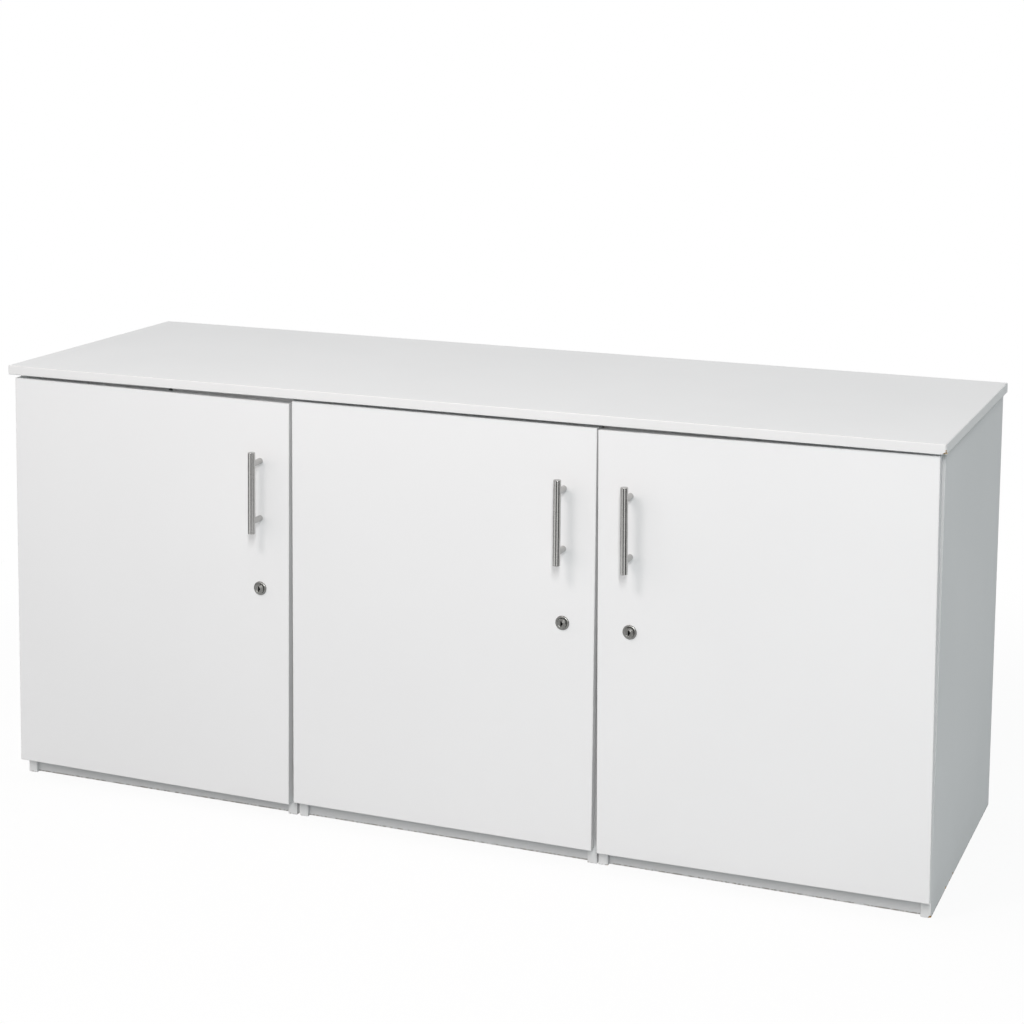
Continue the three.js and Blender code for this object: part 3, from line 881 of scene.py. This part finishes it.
class CREDENZA_OT_sides(bpy.types.Operator):
    """Adds the six sides, with their grooves, shelf pin holes, cam slots and worn feet"""

    bl_idname = "credenza.add_sides"
    bl_label = "Add sides"
    hole_sides = 16

    def execute(self, context):
        boards = context.scene.credenza_boards
        for unit in UNITS:
            for facing, where in ((1, "left_side"), (-1, "right_side")):
                node = f"{unit}_unit_{where}"
                deliver(self.side(unit, node, facing, boards), CARCASS, "white_board", node)
        return {"FINISHED"}

    def side(self, unit, node, facing, boards):
        low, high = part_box(node)
        if facing > 0:
            high.x = low.x + BOARD
        else:
            low.x = high.x - BOARD
        inner, outer = (high.x, low.x) if facing > 0 else (low.x, high.x)
        piece = carcass_board(node, low, high, (FRONT, BACK))
        cut(piece, self.groove(unit, low, high, inner, facing, boards.groove_clearance))
        cut(piece, self.shelf_holes(unit, inner, facing, boards))
        if hand(unit) != facing:
            cut(piece, self.cam_slot(unit, inner, boards.pocket_clearance))
        chip_off(piece, (outer, low.y, low.z), facing, FOOT_CHIPS.get(node, ()))
        return piece

    def groove(self, unit, low, high, inner, facing, clearance):
        """Cutter for the groove that holds the back sheet."""
        sheet_low, sheet_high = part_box(f"{unit}_unit_back")
        tongue = sheet_low.x if facing > 0 else sheet_high.x
        ends = (tongue - facing * clearance, inner + facing * BOARD)
        groove = add_block(
            "groove",
            (min(ends), sheet_low.y - clearance, low.z - BOARD),
            (max(ends), sheet_high.y + clearance, high.z + BOARD),
        )
        return coat(groove, "chipboard")

    def shelf_holes(self, unit, inner, facing, boards):
        """Cutter for the rows of shelf pin holes."""
        depths, height = shelf_pin_places(unit)
        ends = (inner - facing * boards.hole_depth, inner + facing * boards.hole_depth)
        rods = []
        for y in depths:
            for step in range(-boards.holes_each_way, boards.holes_each_way + 1):
                place = (inner, y, height + step * boards.hole_pitch)
                rods.append(add_rod("hole", place, X, ends, boards.hole_radius, self.hole_sides))
        return coat(join("holes", rods), "chipboard")

    def cam_slot(self, unit, inner, clearance):
        """Cutter for the slot that a lock's cam turns into, in the side beside the lock."""
        lock = Vector(JOINTS[f"{unit}_lock_turn"]["pos_m"])
        low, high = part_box(f"{unit}_lock_cam")
        reach = abs(inner - lock.x)
        blade = lock.z - low.z
        half = half_width(low, high)
        floor = inner + hand(unit) * (blade - reach + clearance)
        mouth = inner - hand(unit) * BOARD
        below = math.sqrt(blade ** 2 - reach ** 2) + half + clearance
        slot = add_block(
            "slot",
            (min(floor, mouth), low.y - clearance, lock.z - below),
            (max(floor, mouth), high.y + clearance, lock.z + half + clearance),
        )
        return coat(slot, "chipboard")


class CREDENZA_OT_floors(bpy.types.Operator):
    """Adds the three bases, and the plinths that carry them"""

    bl_idname = "credenza.add_floors"
    bl_label = "Add bases and plinths"

    def execute(self, context):
        for unit in UNITS:
            add_front_banded(f"{unit}_unit_base")
            node = f"{unit}_unit_plinth"
            piece = carcass_board(node, *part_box(node), ())
            # The plinth's white faces take the darker melamine, painted shade under the doors
            piece.material_slots["white melamine"].material = finish("plinth melamine")
            deliver(piece, CARCASS, "white_board", node)
        return {"FINISHED"}


class CREDENZA_OT_rails(bpy.types.Operator):
    """Adds the front and rear top rails, and the rubber door stop on the left front rail"""

    bl_idname = "credenza.add_rails"
    bl_label = "Add rails"

    def execute(self, context):
        for unit in UNITS:
            add_front_banded(f"{unit}_unit_front_rail")
            add_front_banded(f"{unit}_unit_rear_rail")
        self.stop(context.scene.credenza_boards)
        return {"FINISHED"}

    def stop(self, boards):
        low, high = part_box("left_unit_front_rail")
        base = ((low.x + high.x) / 2 + boards.stop_offset, low.y, high.z - boards.stop_drop)
        radius = boards.stop_radius
        reach = boards.stop_reach
        # A foot sunk in the rail, a straight rim, and a blunt nose
        profile = (
            (0.86 * radius, -0.4 * MM),
            (radius, 0.6 * MM),
            (radius, 0.55 * reach),
            (0.82 * radius, 0.82 * reach),
            (0.45 * radius, reach),
        )
        sides = bpy.context.scene.credenza_fittings.small_sides
        piece = add_turned("left_unit_door_stop", base, (0, -1, 0), profile, sides)
        round_edges(piece, 0.3 * MM)
        deliver(coat(piece, "stop rubber"), CARCASS, "zinc_steel")


class CREDENZA_OT_backs(bpy.types.Operator):
    """Adds the three thin back sheets in their grooves"""

    bl_idname = "credenza.add_backs"
    bl_label = "Add backs"

    def execute(self, context):
        for unit in UNITS:
            node = f"{unit}_unit_back"
            piece = add_block(f"{node}_sheet", *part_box(node))
            round_edges(piece, context.scene.credenza_boards.sheet_radius)
            deliver(coat(piece, "back sheet"), CARCASS, "back_board", node)
        return {"FINISHED"}


class CREDENZA_OT_shelves(bpy.types.Operator):
    """Adds the three shelves, and the four pins that carry each of them"""

    bl_idname = "credenza.add_shelves"
    bl_label = "Add shelves"
    pin_play = 0.15 * MM
    shelf_play = 0.1 * MM
    sunk_share = 0.7
    tip_reach = 0.6 * MM
    tip_step = 0.5 * MM

    def execute(self, context):
        for unit in UNITS:
            add_front_banded(f"{unit}_unit_shelf")
            pins = self.pins(unit, context.scene.credenza_boards)
            deliver(pins, CARCASS, "zinc_steel")
        return {"FINISHED"}

    def pins(self, unit, boards):
        depths, height = shelf_pin_places(unit)
        radius = boards.hole_radius - self.pin_play
        collar = boards.pin_collar_radius
        profile = (
            (radius, -self.sunk_share * boards.hole_depth),
            (radius, 0),
            (collar, 0),
            (collar, boards.pin_collar),
            (radius, boards.pin_collar),
            (radius, boards.pin_reach - self.tip_reach),
            (radius - self.tip_step, boards.pin_reach),
        )
        sides = bpy.context.scene.credenza_fittings.small_sides
        low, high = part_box(f"{unit}_unit_base")
        made = []
        for x, facing in ((low.x, 1), (high.x, -1)):
            for y in depths:
                pin = add_turned("pin", (x, y, height), (facing, 0, 0), profile, sides)
                # The collar is cut level with the pin, so that the shelf rests on both
                level = height + boards.hole_radius - self.shelf_play
                lid_high = (x + BOARD, y + BOARD, height + BOARD)
                cut(pin, add_block("lid", (x - BOARD, y - BOARD, level), lid_high))
                made.append(pin)
        return coat(join(f"{unit}_unit_shelf_pins", made), "zinc plate")


# Doors and what they carry

LEAF = "door_leaf"
TURNING = "lock_turn_body"
BORE_PLAY = 0.2 * MM
# How far a lock's flange stands out past its barrel, and its plug's face past its stem
LOCK_STEP = 2 * MM


def hang(piece, unit, body, slot, *nodes):
    """Gives an upright piece its door's sag, and delivers it on the door's leaf or its turning lock."""
    piece.data.transform(sag(unit))
    deliver(piece, f"{unit}_{body}", slot, *(f"{unit}_{node}" for node in nodes))


class CREDENZA_OT_doors(bpy.types.Operator):
    """Adds the three doors, with the bores for their hinge cups and locks"""

    bl_idname = "credenza.add_doors"
    bl_label = "Add doors"

    def execute(self, context):
        sides = context.scene.credenza_fittings.round_sides
        for unit in UNITS:
            low, high = upright_box(unit, "door")
            piece = carcass_board(f"{unit}_door", low, high, (*ENDS, (Z, -1), (Z, 1)))
            back = high.y + BOARD
            for where in HEIGHTS:
                cup_low, cup_high = upright_box(unit, f"{where}_hinge_cup")
                radius = half_width(cup_low, cup_high)
                self.bore(piece, middle_of(cup_low, cup_high), cup_low.y, back, radius, sides)
            lock_low, lock_high = upright_box(unit, "lock_housing")
            barrel = half_width(lock_low, lock_high) - LOCK_STEP
            self.bore(piece, middle_of(lock_low, lock_high), low.y - BOARD, back, barrel, sides)
            hang(piece, unit, LEAF, "white_board", "door")
        return {"FINISHED"}

    def bore(self, piece, middle, front, back, radius, sides):
        """Bores a hole from front to back round a middle point."""
        rod = add_rod("bore", middle, Y, (front - BORE_PLAY, back), radius + BORE_PLAY, sides)
        cut(piece, coat(rod, "chipboard"))


# A screw's rings, as shares of its head's radius and height
SCREW_RINGS = ((0.45, -2), (0.45, 0), (0.94, 0), (1, 0.18), (0.93, 0.55), (0.7, 0.87), (0.4, 1))
# Its crossed slots: reach and half width as shares of the radius, and floor as a share of the height
SLOT_REACH, SLOT_HALF, SLOT_FLOOR = 0.56, 0.11, 0.35


def add_screws(radius, height, places, axis):
    """Cross-head screws whose heads sit at several places and look along an axis."""
    sides = bpy.context.scene.credenza_fittings.small_sides
    profile = [(across * radius, up * height) for across, up in SCREW_RINGS]
    master = add_turned("screw", (0, 0, 0), (0, 0, 1), profile, sides)
    reach = SLOT_REACH * radius
    half = SLOT_HALF * radius
    floor = SLOT_FLOOR * height
    cut(master, add_block("slot", (-reach, -half, floor), (reach, half, 2 * height)))
    cut(master, add_block("slot", (-half, -reach, floor), (half, reach, 2 * height)))
    coat(master, "zinc plate")
    screws = []
    for place in places:
        screw = master.copy()
        screw.data = master.data.copy()
        screw.data.transform(Matrix.Translation(place) @ turn_to(axis).to_matrix().to_4x4())
        bpy.context.scene.collection.objects.link(screw)
        screws.append(screw)
    bpy.data.objects.remove(master)
    return screws


class CREDENZA_OT_handles(bpy.types.Operator):
    """Adds the three bar handles, their posts and their screws"""

    bl_idname = "credenza.add_handles"
    bl_label = "Add handles"

    def execute(self, context):
        fittings = context.scene.credenza_fittings
        for unit in UNITS:
            self.bar(unit, fittings)
            for where in HEIGHTS:
                self.post(unit, f"handle_{where}_post", fittings)
            self.screws(unit, fittings)
        return {"FINISHED"}

    def bar(self, unit, fittings):
        low, high = upright_box(unit, "handle_bar")
        middle = middle_of(low, high)
        radius = half_width(low, high)
        reach = high.z - low.z
        chamfer = fittings.handle_chamfer
        dimple = fittings.handle_dimple
        centre = 0.4 * radius
        lip = 0.62 * radius
        profile = (
            (centre, dimple),
            (lip, 0),
            (radius - chamfer, 0),
            (radius, chamfer),
            (radius, reach - chamfer),
            (radius - chamfer, reach),
            (lip, reach),
            (centre, reach - dimple),
        )
        base = (middle.x, middle.y, low.z)
        piece = add_turned(f"{unit}_handle_bar_steel", base, (0, 0, 1), profile, fittings.round_sides)
        round_edges(piece, 0.25 * MM, sharpest=25)
        hang(coat(piece, "brushed steel"), unit, LEAF, "handle_steel", "handle_bar")

    def post(self, unit, name, fittings):
        low, high = upright_box(unit, name)
        bar_low, bar_high = upright_box(unit, "handle_bar")
        bar = middle_of(bar_low, bar_high)
        middle = middle_of(low, high)
        radius = half_width(low, high)
        chamfer = fittings.post_chamfer
        sides = fittings.round_sides
        profile = ((radius - chamfer, 0), (radius, chamfer), (radius, high.y - bar.y))
        base = (middle.x, high.y, middle.z)
        piece = add_turned(f"{unit}_{name}_steel", base, (0, -1, 0), profile, sides)
        # The post's end is hollowed to sit round the bar
        ends = (bar_low.z, bar_high.z)
        cut(piece, add_rod("saddle", bar, Z, ends, half_width(bar_low, bar_high), sides))
        round_edges(piece, 0.15 * MM, sharpest=25)
        hang(coat(piece, "brushed steel"), unit, LEAF, "handle_steel", name)

    def screws(self, unit, fittings):
        back = upright_box(unit, "door")[1].y
        places = []
        for where in HEIGHTS:
            middle = middle_of(*upright_box(unit, f"handle_{where}_post"))
            places.append((middle.x, back, middle.z))
        radius = fittings.handle_screw_radius
        screws = add_screws(radius, fittings.handle_screw_height, places, (0, 1, 0))
        hang(join(f"{unit}_handle_screws", screws), unit, LEAF, "zinc_steel")


class CREDENZA_OT_locks(bpy.types.Operator):
    """Adds the three cam locks: housing with its nut, plug with its key slot, and cam"""

    bl_idname = "credenza.add_locks"
    bl_label = "Add locks"
    dome_steps = 5
    seat_play = 0.1 * MM
    bore_step = 1.7 * MM
    thread_depth = 0.4 * MM
    plug_play = 0.3 * MM
    ring_half = 0.4 * MM
    soft_edge = 0.12 * MM
    blade_flat = 0.05 * MM
    blade_steps = 8
    hole_sides = 32
    head_width = 1.6
    head_height = 0.5

    def execute(self, context):
        fittings = context.scene.credenza_fittings
        for unit in UNITS:
            self.housing(unit, fittings)
            self.plug(unit, fittings)
            self.cam(unit, fittings)
        return {"FINISHED"}

    def housing(self, unit, fittings):
        low, high = upright_box(unit, "lock_housing")
        door_low, door_high = upright_box(unit, "door")
        middle = middle_of(low, high)
        rim = half_width(low, high)
        bore = half_width(*upright_box(unit, "lock_plug")) - self.bore_step
        barrel = rim - LOCK_STEP
        seat = door_low.y - low.y - self.seat_play
        reach = high.y - low.y
        recess = fittings.flange_recess
        dome = []
        for step in range(self.dome_steps + 1):
            turn = math.pi / 2 * step / self.dome_steps
            width = fittings.flange_dome * (1 - math.sin(turn))
            dome.append((rim - width, fittings.flange_rise * (1 - math.cos(turn))))
        profile = (
            (bore, recess),
            (rim - fittings.flange_dome - recess, recess),
            *dome,
            (rim, seat),
            (barrel, seat),
            (barrel, reach),
            (bore, reach),
            (bore, recess),
        )
        base = (middle.x, low.y, middle.z)
        case = add_turned("case", base, (0, 1, 0), profile, fittings.round_sides, bored=True)
        round_edges(case, self.soft_edge, sharpest=35)
        nut = add_ring(
            "nut", (middle.x, door_high.y, middle.z), (0, 1, 0), barrel - self.thread_depth,
            fittings.nut_radius, fittings.nut_thickness, HEXAGON,
        )
        round_edges(nut, 0.5 * MM)
        piece = join(f"{unit}_lock_case", [coat(case, "lock nickel"), coat(nut, "zinc plate")])
        hang(piece, unit, LEAF, "lock_nickel", "lock_housing")

    def plug(self, unit, fittings):
        low, high = upright_box(unit, "lock_plug")
        case_low, case_high = upright_box(unit, "lock_housing")
        middle = middle_of(low, high)
        face = half_width(low, high)
        stem = face - LOCK_STEP
        stem_end = case_high.y - low.y
        tail = fittings.cam_hole - self.plug_play
        back = case_low.y - low.y - self.plug_play
        ring = fittings.plug_ring
        profile = (
            (ring - self.ring_half, 0),
            (ring, fittings.plug_ring_depth),
            (ring + self.ring_half, 0),
            (face - fittings.plug_chamfer, 0),
            (face, fittings.plug_chamfer),
            (face, back),
            (stem, back),
            (stem, stem_end),
            (tail, stem_end),
            (tail, high.y - low.y),
        )
        base = (middle.x, low.y, middle.z)
        piece = add_turned(f"{unit}_lock_barrel", base, (0, 1, 0), profile, fittings.round_sides)
        round_edges(piece, self.soft_edge, sharpest=30)
        coat(piece, "lock nickel")
        half = Vector((fittings.key_width, 2 * fittings.key_depth, 0)) / 2
        for aside, height in ((0, fittings.key_height), (fittings.key_ward, fittings.key_ward_height)):
            half.z = height / 2
            slot_middle = Vector((middle.x + aside, low.y, middle.z))
            slot = add_block("key slot", slot_middle - half, slot_middle + half)
            # The slot's walls take the near-black finish, painted shade for the slot's dark inside
            cut(piece, coat(slot, "keyway"))
        hang(piece, unit, TURNING, "lock_nickel", "lock_plug")

    def cam(self, unit, fittings):
        low, high = upright_box(unit, "lock_cam")
        axis = middle_of(*upright_box(unit, "lock_plug"))
        blade = add_block("blade", low, high)
        bevel_edges(blade, half_width(low, high) - self.blade_flat, self.blade_steps, X, Z)
        hole = fittings.cam_hole
        cut(blade, add_rod("hole", axis, Y, (low.y - BOARD, high.y + BOARD), hole, self.hole_sides))
        round_edges(blade, 0.3 * MM)
        coat(blade, "zinc plate")
        place = (axis.x, high.y, axis.z)
        head = add_screws(self.head_width * hole, self.head_height * hole, [place], (0, 1, 0))
        hang(join(f"{unit}_lock_cam_blade", [blade, *head]), unit, TURNING, "zinc_steel", "lock_cam")


class CREDENZA_OT_hinges(bpy.types.Operator):
    """Adds the six cup hinges: cups in the doors, and arms on the sides"""

    bl_idname = "credenza.add_hinges"
    bl_label = "Add hinges"
    flange_round = 0.9
    flange_steps = 6
    neck_inset = 0.3 * MM
    neck_steps = 8
    block_overlap = 1 * MM
    bar_screw_inset = 6 * MM

    def execute(self, context):
        fittings = context.scene.credenza_fittings
        for unit in UNITS:
            for where in HEIGHTS:
                self.cup(unit, f"{where}_hinge_cup", fittings)
                self.arm(unit, where, fittings)
        return {"FINISHED"}

    def cup(self, unit, name, fittings):
        low, high = upright_box(unit, name)
        middle = middle_of(low, high)
        door_back = upright_box(unit, "door")[1].y
        radius = half_width(low, high)
        depth = high.y - low.y
        wall = fittings.cup_wall
        inside = radius - 0.5 * wall
        # The outer wall with its rounded bottom, then the inner wall and the floor
        profile = (
            (radius - 2 * wall, 0),
            (inside, 0.5 * wall),
            (radius, 2 * wall),
            (radius, depth),
            (radius - wall, depth),
            (radius - wall, 2.6 * wall),
            (radius - 2.6 * wall, wall),
        )
        base = (middle.x, low.y, middle.z)
        cup = add_turned("cup", base, (0, 1, 0), profile, fittings.round_sides)
        half = fittings.cup_flange_width / 2
        flange_low = (middle.x - half, high.y - fittings.cup_flange, low.z)
        flange = add_block("flange", flange_low, (middle.x + half, high.y, high.z))
        bevel_edges(flange, self.flange_round * half, self.flange_steps, X, Z)
        ends = (door_back - BOARD, high.y + BOARD)
        cut(flange, add_rod("hole", middle, Y, ends, inside, fittings.round_sides))
        round_edges(flange, 0.25 * MM)
        pin = hinge_pin(unit)
        chord = math.sqrt(inside ** 2 - (middle.x - pin.x) ** 2)
        ends = (middle.z - chord, middle.z + chord)
        rod = add_rod("rod", pin, Z, ends, fittings.pin_radius, fittings.small_sides)
        metal = coat(join("metal", [cup, flange, rod]), "hinge nickel")
        places = []
        for z in (low.z + fittings.cup_screw_inset, high.z - fittings.cup_screw_inset):
            places.append((middle.x, high.y, z))
        screws = add_screws(fittings.screw_radius, fittings.screw_height, places, (0, 1, 0))
        hang(join(f"{unit}_{name}_steel", [metal, *screws]), unit, LEAF, "hinge_steel", name)

    def arm(self, unit, where, fittings):
        """Models an arm about its pin, with X into the cupboard and Y backwards, then sets it in place."""
        node = f"{unit}_{where}_hinge_arm"
        pin = hinge_pin(unit)
        pin.z = middle_of(*upright_box(unit, f"{where}_hinge_cup")).z
        place = Matrix.Translation(sag(unit) @ pin)
        if hand(unit) < 0:
            place = place @ Matrix.Rotation(math.pi, 4, "Y")
        low, high = box_from(place, node)
        half = fittings.arm_width / 2
        back = high.y
        front = back - fittings.bar_length
        neck, foot = self.neck(fittings, front)
        eye = add_ring(
            "eye", (0, 0, -half), (0, 0, 1), fittings.eye_bore, fittings.eye_radius, 2 * half,
            fittings.small_sides,
        )
        bar_low = foot.x - fittings.bar_thickness / 2
        bar_high = foot.x + fittings.bar_thickness / 2
        bar = add_block("bar", (bar_low, front, -half), (bar_high, back, half))
        round_edges(bar, 1.6 * MM, steps=3)
        plate_front = front + fittings.plate_setback
        plate_back = plate_front + fittings.plate_length
        seat = self.plate_face(unit, place)
        seat_front = seat + fittings.plate_thickness
        block_high = (bar_low + self.block_overlap, plate_back, half)
        block = add_block("block", (seat, plate_front, -half), block_high)
        round_edges(block, 0.5 * MM)
        plate = add_block("plate", (seat, plate_front, low.z), (seat_front, plate_back, high.z))
        round_edges(plate, 1.2 * MM, steps=3)
        metal = coat(join("metal", [neck, eye, bar, block, plate]), "hinge nickel")
        middle = (plate_front + plate_back) / 2
        places = (
            (seat_front, middle, -fittings.plate_screw_height),
            (seat_front, middle, fittings.plate_screw_height),
            (bar_high, front + self.bar_screw_inset, 0),
            (bar_high, middle, 0),
        )
        screws = add_screws(fittings.screw_radius, fittings.screw_height, places, (1, 0, 0))
        piece = join(f"{node}_steel", [metal, *screws])
        piece.data.transform(place)
        deliver(piece, CARCASS, "hinge_steel", node)

    def neck(self, fittings, front):
        """The crescent neck, and the point where its straight end meets the bar."""
        half = fittings.arm_width / 2
        thin = fittings.neck_thickness / 2
        reach = fittings.neck_reach
        bend = fittings.neck_bend
        lean = fittings.neck_lean
        start = fittings.eye_bore + self.neck_inset
        neck = add_block("neck", (start, -thin, -half), (reach, thin, half))
        along = Vector((-math.sin(lean), math.cos(lean), 0))
        turned = Vector((reach + bend * math.cos(lean), bend + bend * math.sin(lean), 0))
        straight = (front + fittings.bar_thickness / 2 - turned.y) / along.y
        turn = -(math.pi / 2 + lean)
        with editing(neck):
            # The face that looks along X is swept round the bend, and then drawn out straight
            bpy.ops.mesh.select_mode(type="FACE")
            mesh = bmesh.from_edit_mesh(neck.data)
            for face in mesh.faces:
                face.select_set(face.normal.x > 0.9)
            bmesh.update_edit_mesh(neck.data)
            bpy.ops.mesh.spin(steps=self.neck_steps, angle=turn, center=(reach, bend, 0), axis=(0, 0, 1))
            bpy.ops.mesh.extrude_region_move(TRANSFORM_OT_translate={"value": along * straight})
            tidy_faces()
        round_edges(neck, 0.3 * MM)
        return neck, turned + along * straight

    def plate_face(self, unit, place):
        """X of the side's inner face, as the arm sees it."""
        low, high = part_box(f"{unit}_unit_base")
        face = low.x if hand(unit) > 0 else high.x
        return (place.inverted() @ Vector((face, 0, 0))).x


class CREDENZA_OT_connectors(bpy.types.Operator):
    """Adds the two bolts that hold neighbouring cupboards together"""

    bl_idname = "credenza.add_connectors"
    bl_label = "Add connectors"
    shank_share = 0.46
    socket_share = 0.8

    def execute(self, context):
        fittings = context.scene.credenza_fittings
        for node in ("left_unit_connector", "right_unit_connector"):
            low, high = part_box(node)
            middle = middle_of(low, high)
            head = (high.z - low.z) / 2
            shank = self.shank_share * head
            reach = high.x - low.x
            soft = fittings.bolt_round
            thick = fittings.bolt_head
            profile = (
                (head - soft, 0),
                (head, soft),
                (head, thick),
                (shank, thick),
                (shank, reach - thick),
                (head, reach - thick),
                (head, reach - soft),
                (head - soft, reach),
            )
            base = (low.x, middle.y, middle.z)
            piece = add_turned(f"{node}_bolt", base, (1, 0, 0), profile, fittings.round_sides)
            for end, inwards in ((low.x, 1), (high.x, -1)):
                ends = (end - inwards * thick, end + inwards * self.socket_share * thick)
                cut(piece, add_rod("socket", middle, X, ends, fittings.bolt_socket, HEXAGON))
            round_edges(piece, 0.2 * MM)
            deliver(coat(piece, "zinc plate"), CARCASS, "zinc_steel", node)
        return {"FINISHED"}


# Stage

UPRIGHT = math.pi / 2
# Dark cards that only shiny pieces show: name, place, turn and size
CARDS = (
    ("front_card", (0.17, -1.8, 0.3), (UPRIGHT, 0, 0), (0.6, 0.6)),
    ("right_card", (1.4, -0.65, 0.3), (UPRIGHT, 0, UPRIGHT), (0.7, 0.6)),
    ("left_card", (-1.5, -0.42, 0.3), (UPRIGHT, 0, UPRIGHT), (0.35, 0.6)),
    ("ceiling_card", (-0.35, -0.75, 1.9), (0, 0, 0), (1.8, 0.9)),
)


class CREDENZA_OT_stage(bpy.types.Operator):
    """Adds the white floor and surround, the soft lamps, the dark cards and the camera"""

    bl_idname = "credenza.add_stage"
    bl_label = "Add stage"

    def execute(self, context):
        scene = context.scene
        stage = scene.credenza_stage
        scene.view_settings.view_transform = "Standard"
        self.floor(stage)
        self.surround(scene, stage)
        main_size = (stage.main_width, stage.main_height)
        self.lamp(scene, "main_lamp", stage.main_place, main_size, stage.main_power, WHITE)
        key_size = (stage.key_width, stage.key_width)
        self.lamp(scene, "key_lamp", stage.key_place, key_size, stage.key_power, stage.warm)
        for card in CARDS:
            self.card(stage, *card)
        self.camera(scene, stage)
        return {"FINISHED"}

    def floor(self, stage):
        floor = add_primitive("plane", "floor", size=stage.floor_size)
        made = Finish("white floor")
        reach = made.node("VectorMath", {"operation": "LENGTH"}, {0: made.place}, "Value")
        shade = stage.floor_shade * (1 - made.fade(reach, stage.shade_inner, stage.shade_outer))
        white = made.node("Emission", {}, {"Color": WHITE, "Strength": 1.0})
        seen = made.seen()
        tone = made.mix(seen, stage.floor_colour[:], stage.floor_white[:])
        dull = made.node("BsdfDiffuse", {}, {"Color": tone})
        shader = made.node("MixShader", {}, {0: seen * (1 - shade), 1: dull, 2: white})
        floor.data.materials.append(made.surface(shader))

    def surround(self, scene, stage):
        """A white world for what is seen, and two broad lights for what is lit."""
        scene.world = bpy.data.worlds.new("surround")
        scene.world.use_nodes = True
        made = Nodes(scene.world.node_tree)
        seen = made.seen()
        outwards = made.node("TexCoord", {}, {}, "Generated")
        shader = made.node("Background", {}, {"Color": WHITE, "Strength": seen})
        broad_lights = (
            (stage.sky, stage.sky_axis, stage.cool),
            (stage.wall, stage.wall_axis, stage.warm),
        )
        for strength, axis, tone in broad_lights:
            dot = {0: outwards, 1: axis.normalized()}
            along = made.node("VectorMath", {"operation": "DOT_PRODUCT"}, dot, "Value")
            ahead = along.math("MAXIMUM", along, 0.0)
            glow = {"Color": tone[:], "Strength": strength * ahead * ahead * (1 - seen)}
            light = made.node("Background", {}, glow)
            shader = made.node("AddShader", {}, {0: shader, 1: light})
        made.node("OutputWorld", {}, {"Surface": shader})

    def lamp(self, scene, name, place, size, power, shade):
        light = bpy.data.lights.new(name, "AREA")
        light.shape = "ELLIPSE"
        light.size, light.size_y = size
        light.energy = power
        light.color = shade[:3]
        lamp = bpy.data.objects.new(name, light)
        lamp.location = place
        lamp.rotation_euler = turn_to(Vector(place) - Vector(scene.credenza_stage.lamp_aim))
        scene.collection.objects.link(lamp)

    def card(self, stage, name, place, turn, size):
        card = add_primitive("plane", name, size=1, location=place, rotation=turn, scale=(*size, 1))
        made = Finish(name)
        dark = made.node("Emission", {}, {"Color": shaded(WHITE, stage.card_shade), "Strength": 1.0})
        card.data.materials.append(made.surface(dark))
        card.visible_camera = False
        card.visible_diffuse = False
        card.visible_transmission = False
        card.visible_shadow = False

    def camera(self, scene, stage):
        data = bpy.data.cameras.new("camera")
        data.lens = stage.lens
        data.shift_x = stage.shift_x
        data.shift_y = stage.shift_y
        camera = bpy.data.objects.new("camera", data)
        turn = Matrix.Rotation(stage.yaw, 4, "Z")
        tilt = Matrix.Rotation(UPRIGHT - stage.pitch, 4, "X")
        roll = Matrix.Rotation(stage.roll, 4, "Z")
        camera.matrix_world = Matrix.Translation(stage.camera_place) @ turn @ tilt @ roll
        scene.collection.objects.link(camera)
        scene.camera = camera


# Panel and registration


class CREDENZA_PT_panel(bpy.types.Panel):
    """Lists the steps and settings of the credenza"""

    bl_idname = "CREDENZA_PT_panel"
    bl_label = "Credenza"
    bl_space_type = "VIEW_3D"
    bl_region_type = "UI"
    bl_category = "Credenza"

    def draw(self, context):
        for operator in OPERATORS:
            self.layout.operator(operator.bl_idname)
        for name in SETTINGS:
            group = getattr(context.scene, name)
            box = self.layout.box()
            for key in group.bl_rna.properties.keys():
                if key not in ("rna_type", "name"):
                    box.prop(group, key)


SETTINGS = {
    "credenza_boards": CredenzaBoards,
    "credenza_fittings": CredenzaFittings,
    "credenza_colours": CredenzaColours,
    "credenza_stage": CredenzaStage,
}
OPERATORS = (
    CREDENZA_OT_stage,
    CREDENZA_OT_top,
    CREDENZA_OT_sides,
    CREDENZA_OT_floors,
    CREDENZA_OT_rails,
    CREDENZA_OT_backs,
    CREDENZA_OT_shelves,
    CREDENZA_OT_doors,
    CREDENZA_OT_handles,
    CREDENZA_OT_locks,
    CREDENZA_OT_hinges,
    CREDENZA_OT_connectors,
)


def register():
    for group in SETTINGS.values():
        bpy.utils.register_class(group)
    for name, group in SETTINGS.items():
        setattr(bpy.types.Scene, name, PointerProperty(type=group))
    for operator in OPERATORS:
        bpy.utils.register_class(operator)
    bpy.utils.register_class(CREDENZA_PT_panel)


def unregister():
    bpy.utils.unregister_class(CREDENZA_PT_panel)
    for operator in reversed(OPERATORS):
        bpy.utils.unregister_class(operator)
    for name in SETTINGS:
        delattr(bpy.types.Scene, name)
    for group in reversed(SETTINGS.values()):
        bpy.utils.unregister_class(group)


def main():
    register()
    for operator in OPERATORS:
        step = operator.bl_idname.split(".")[1]
        getattr(bpy.ops.credenza, step)()


if __name__ == "__main__":
    main()
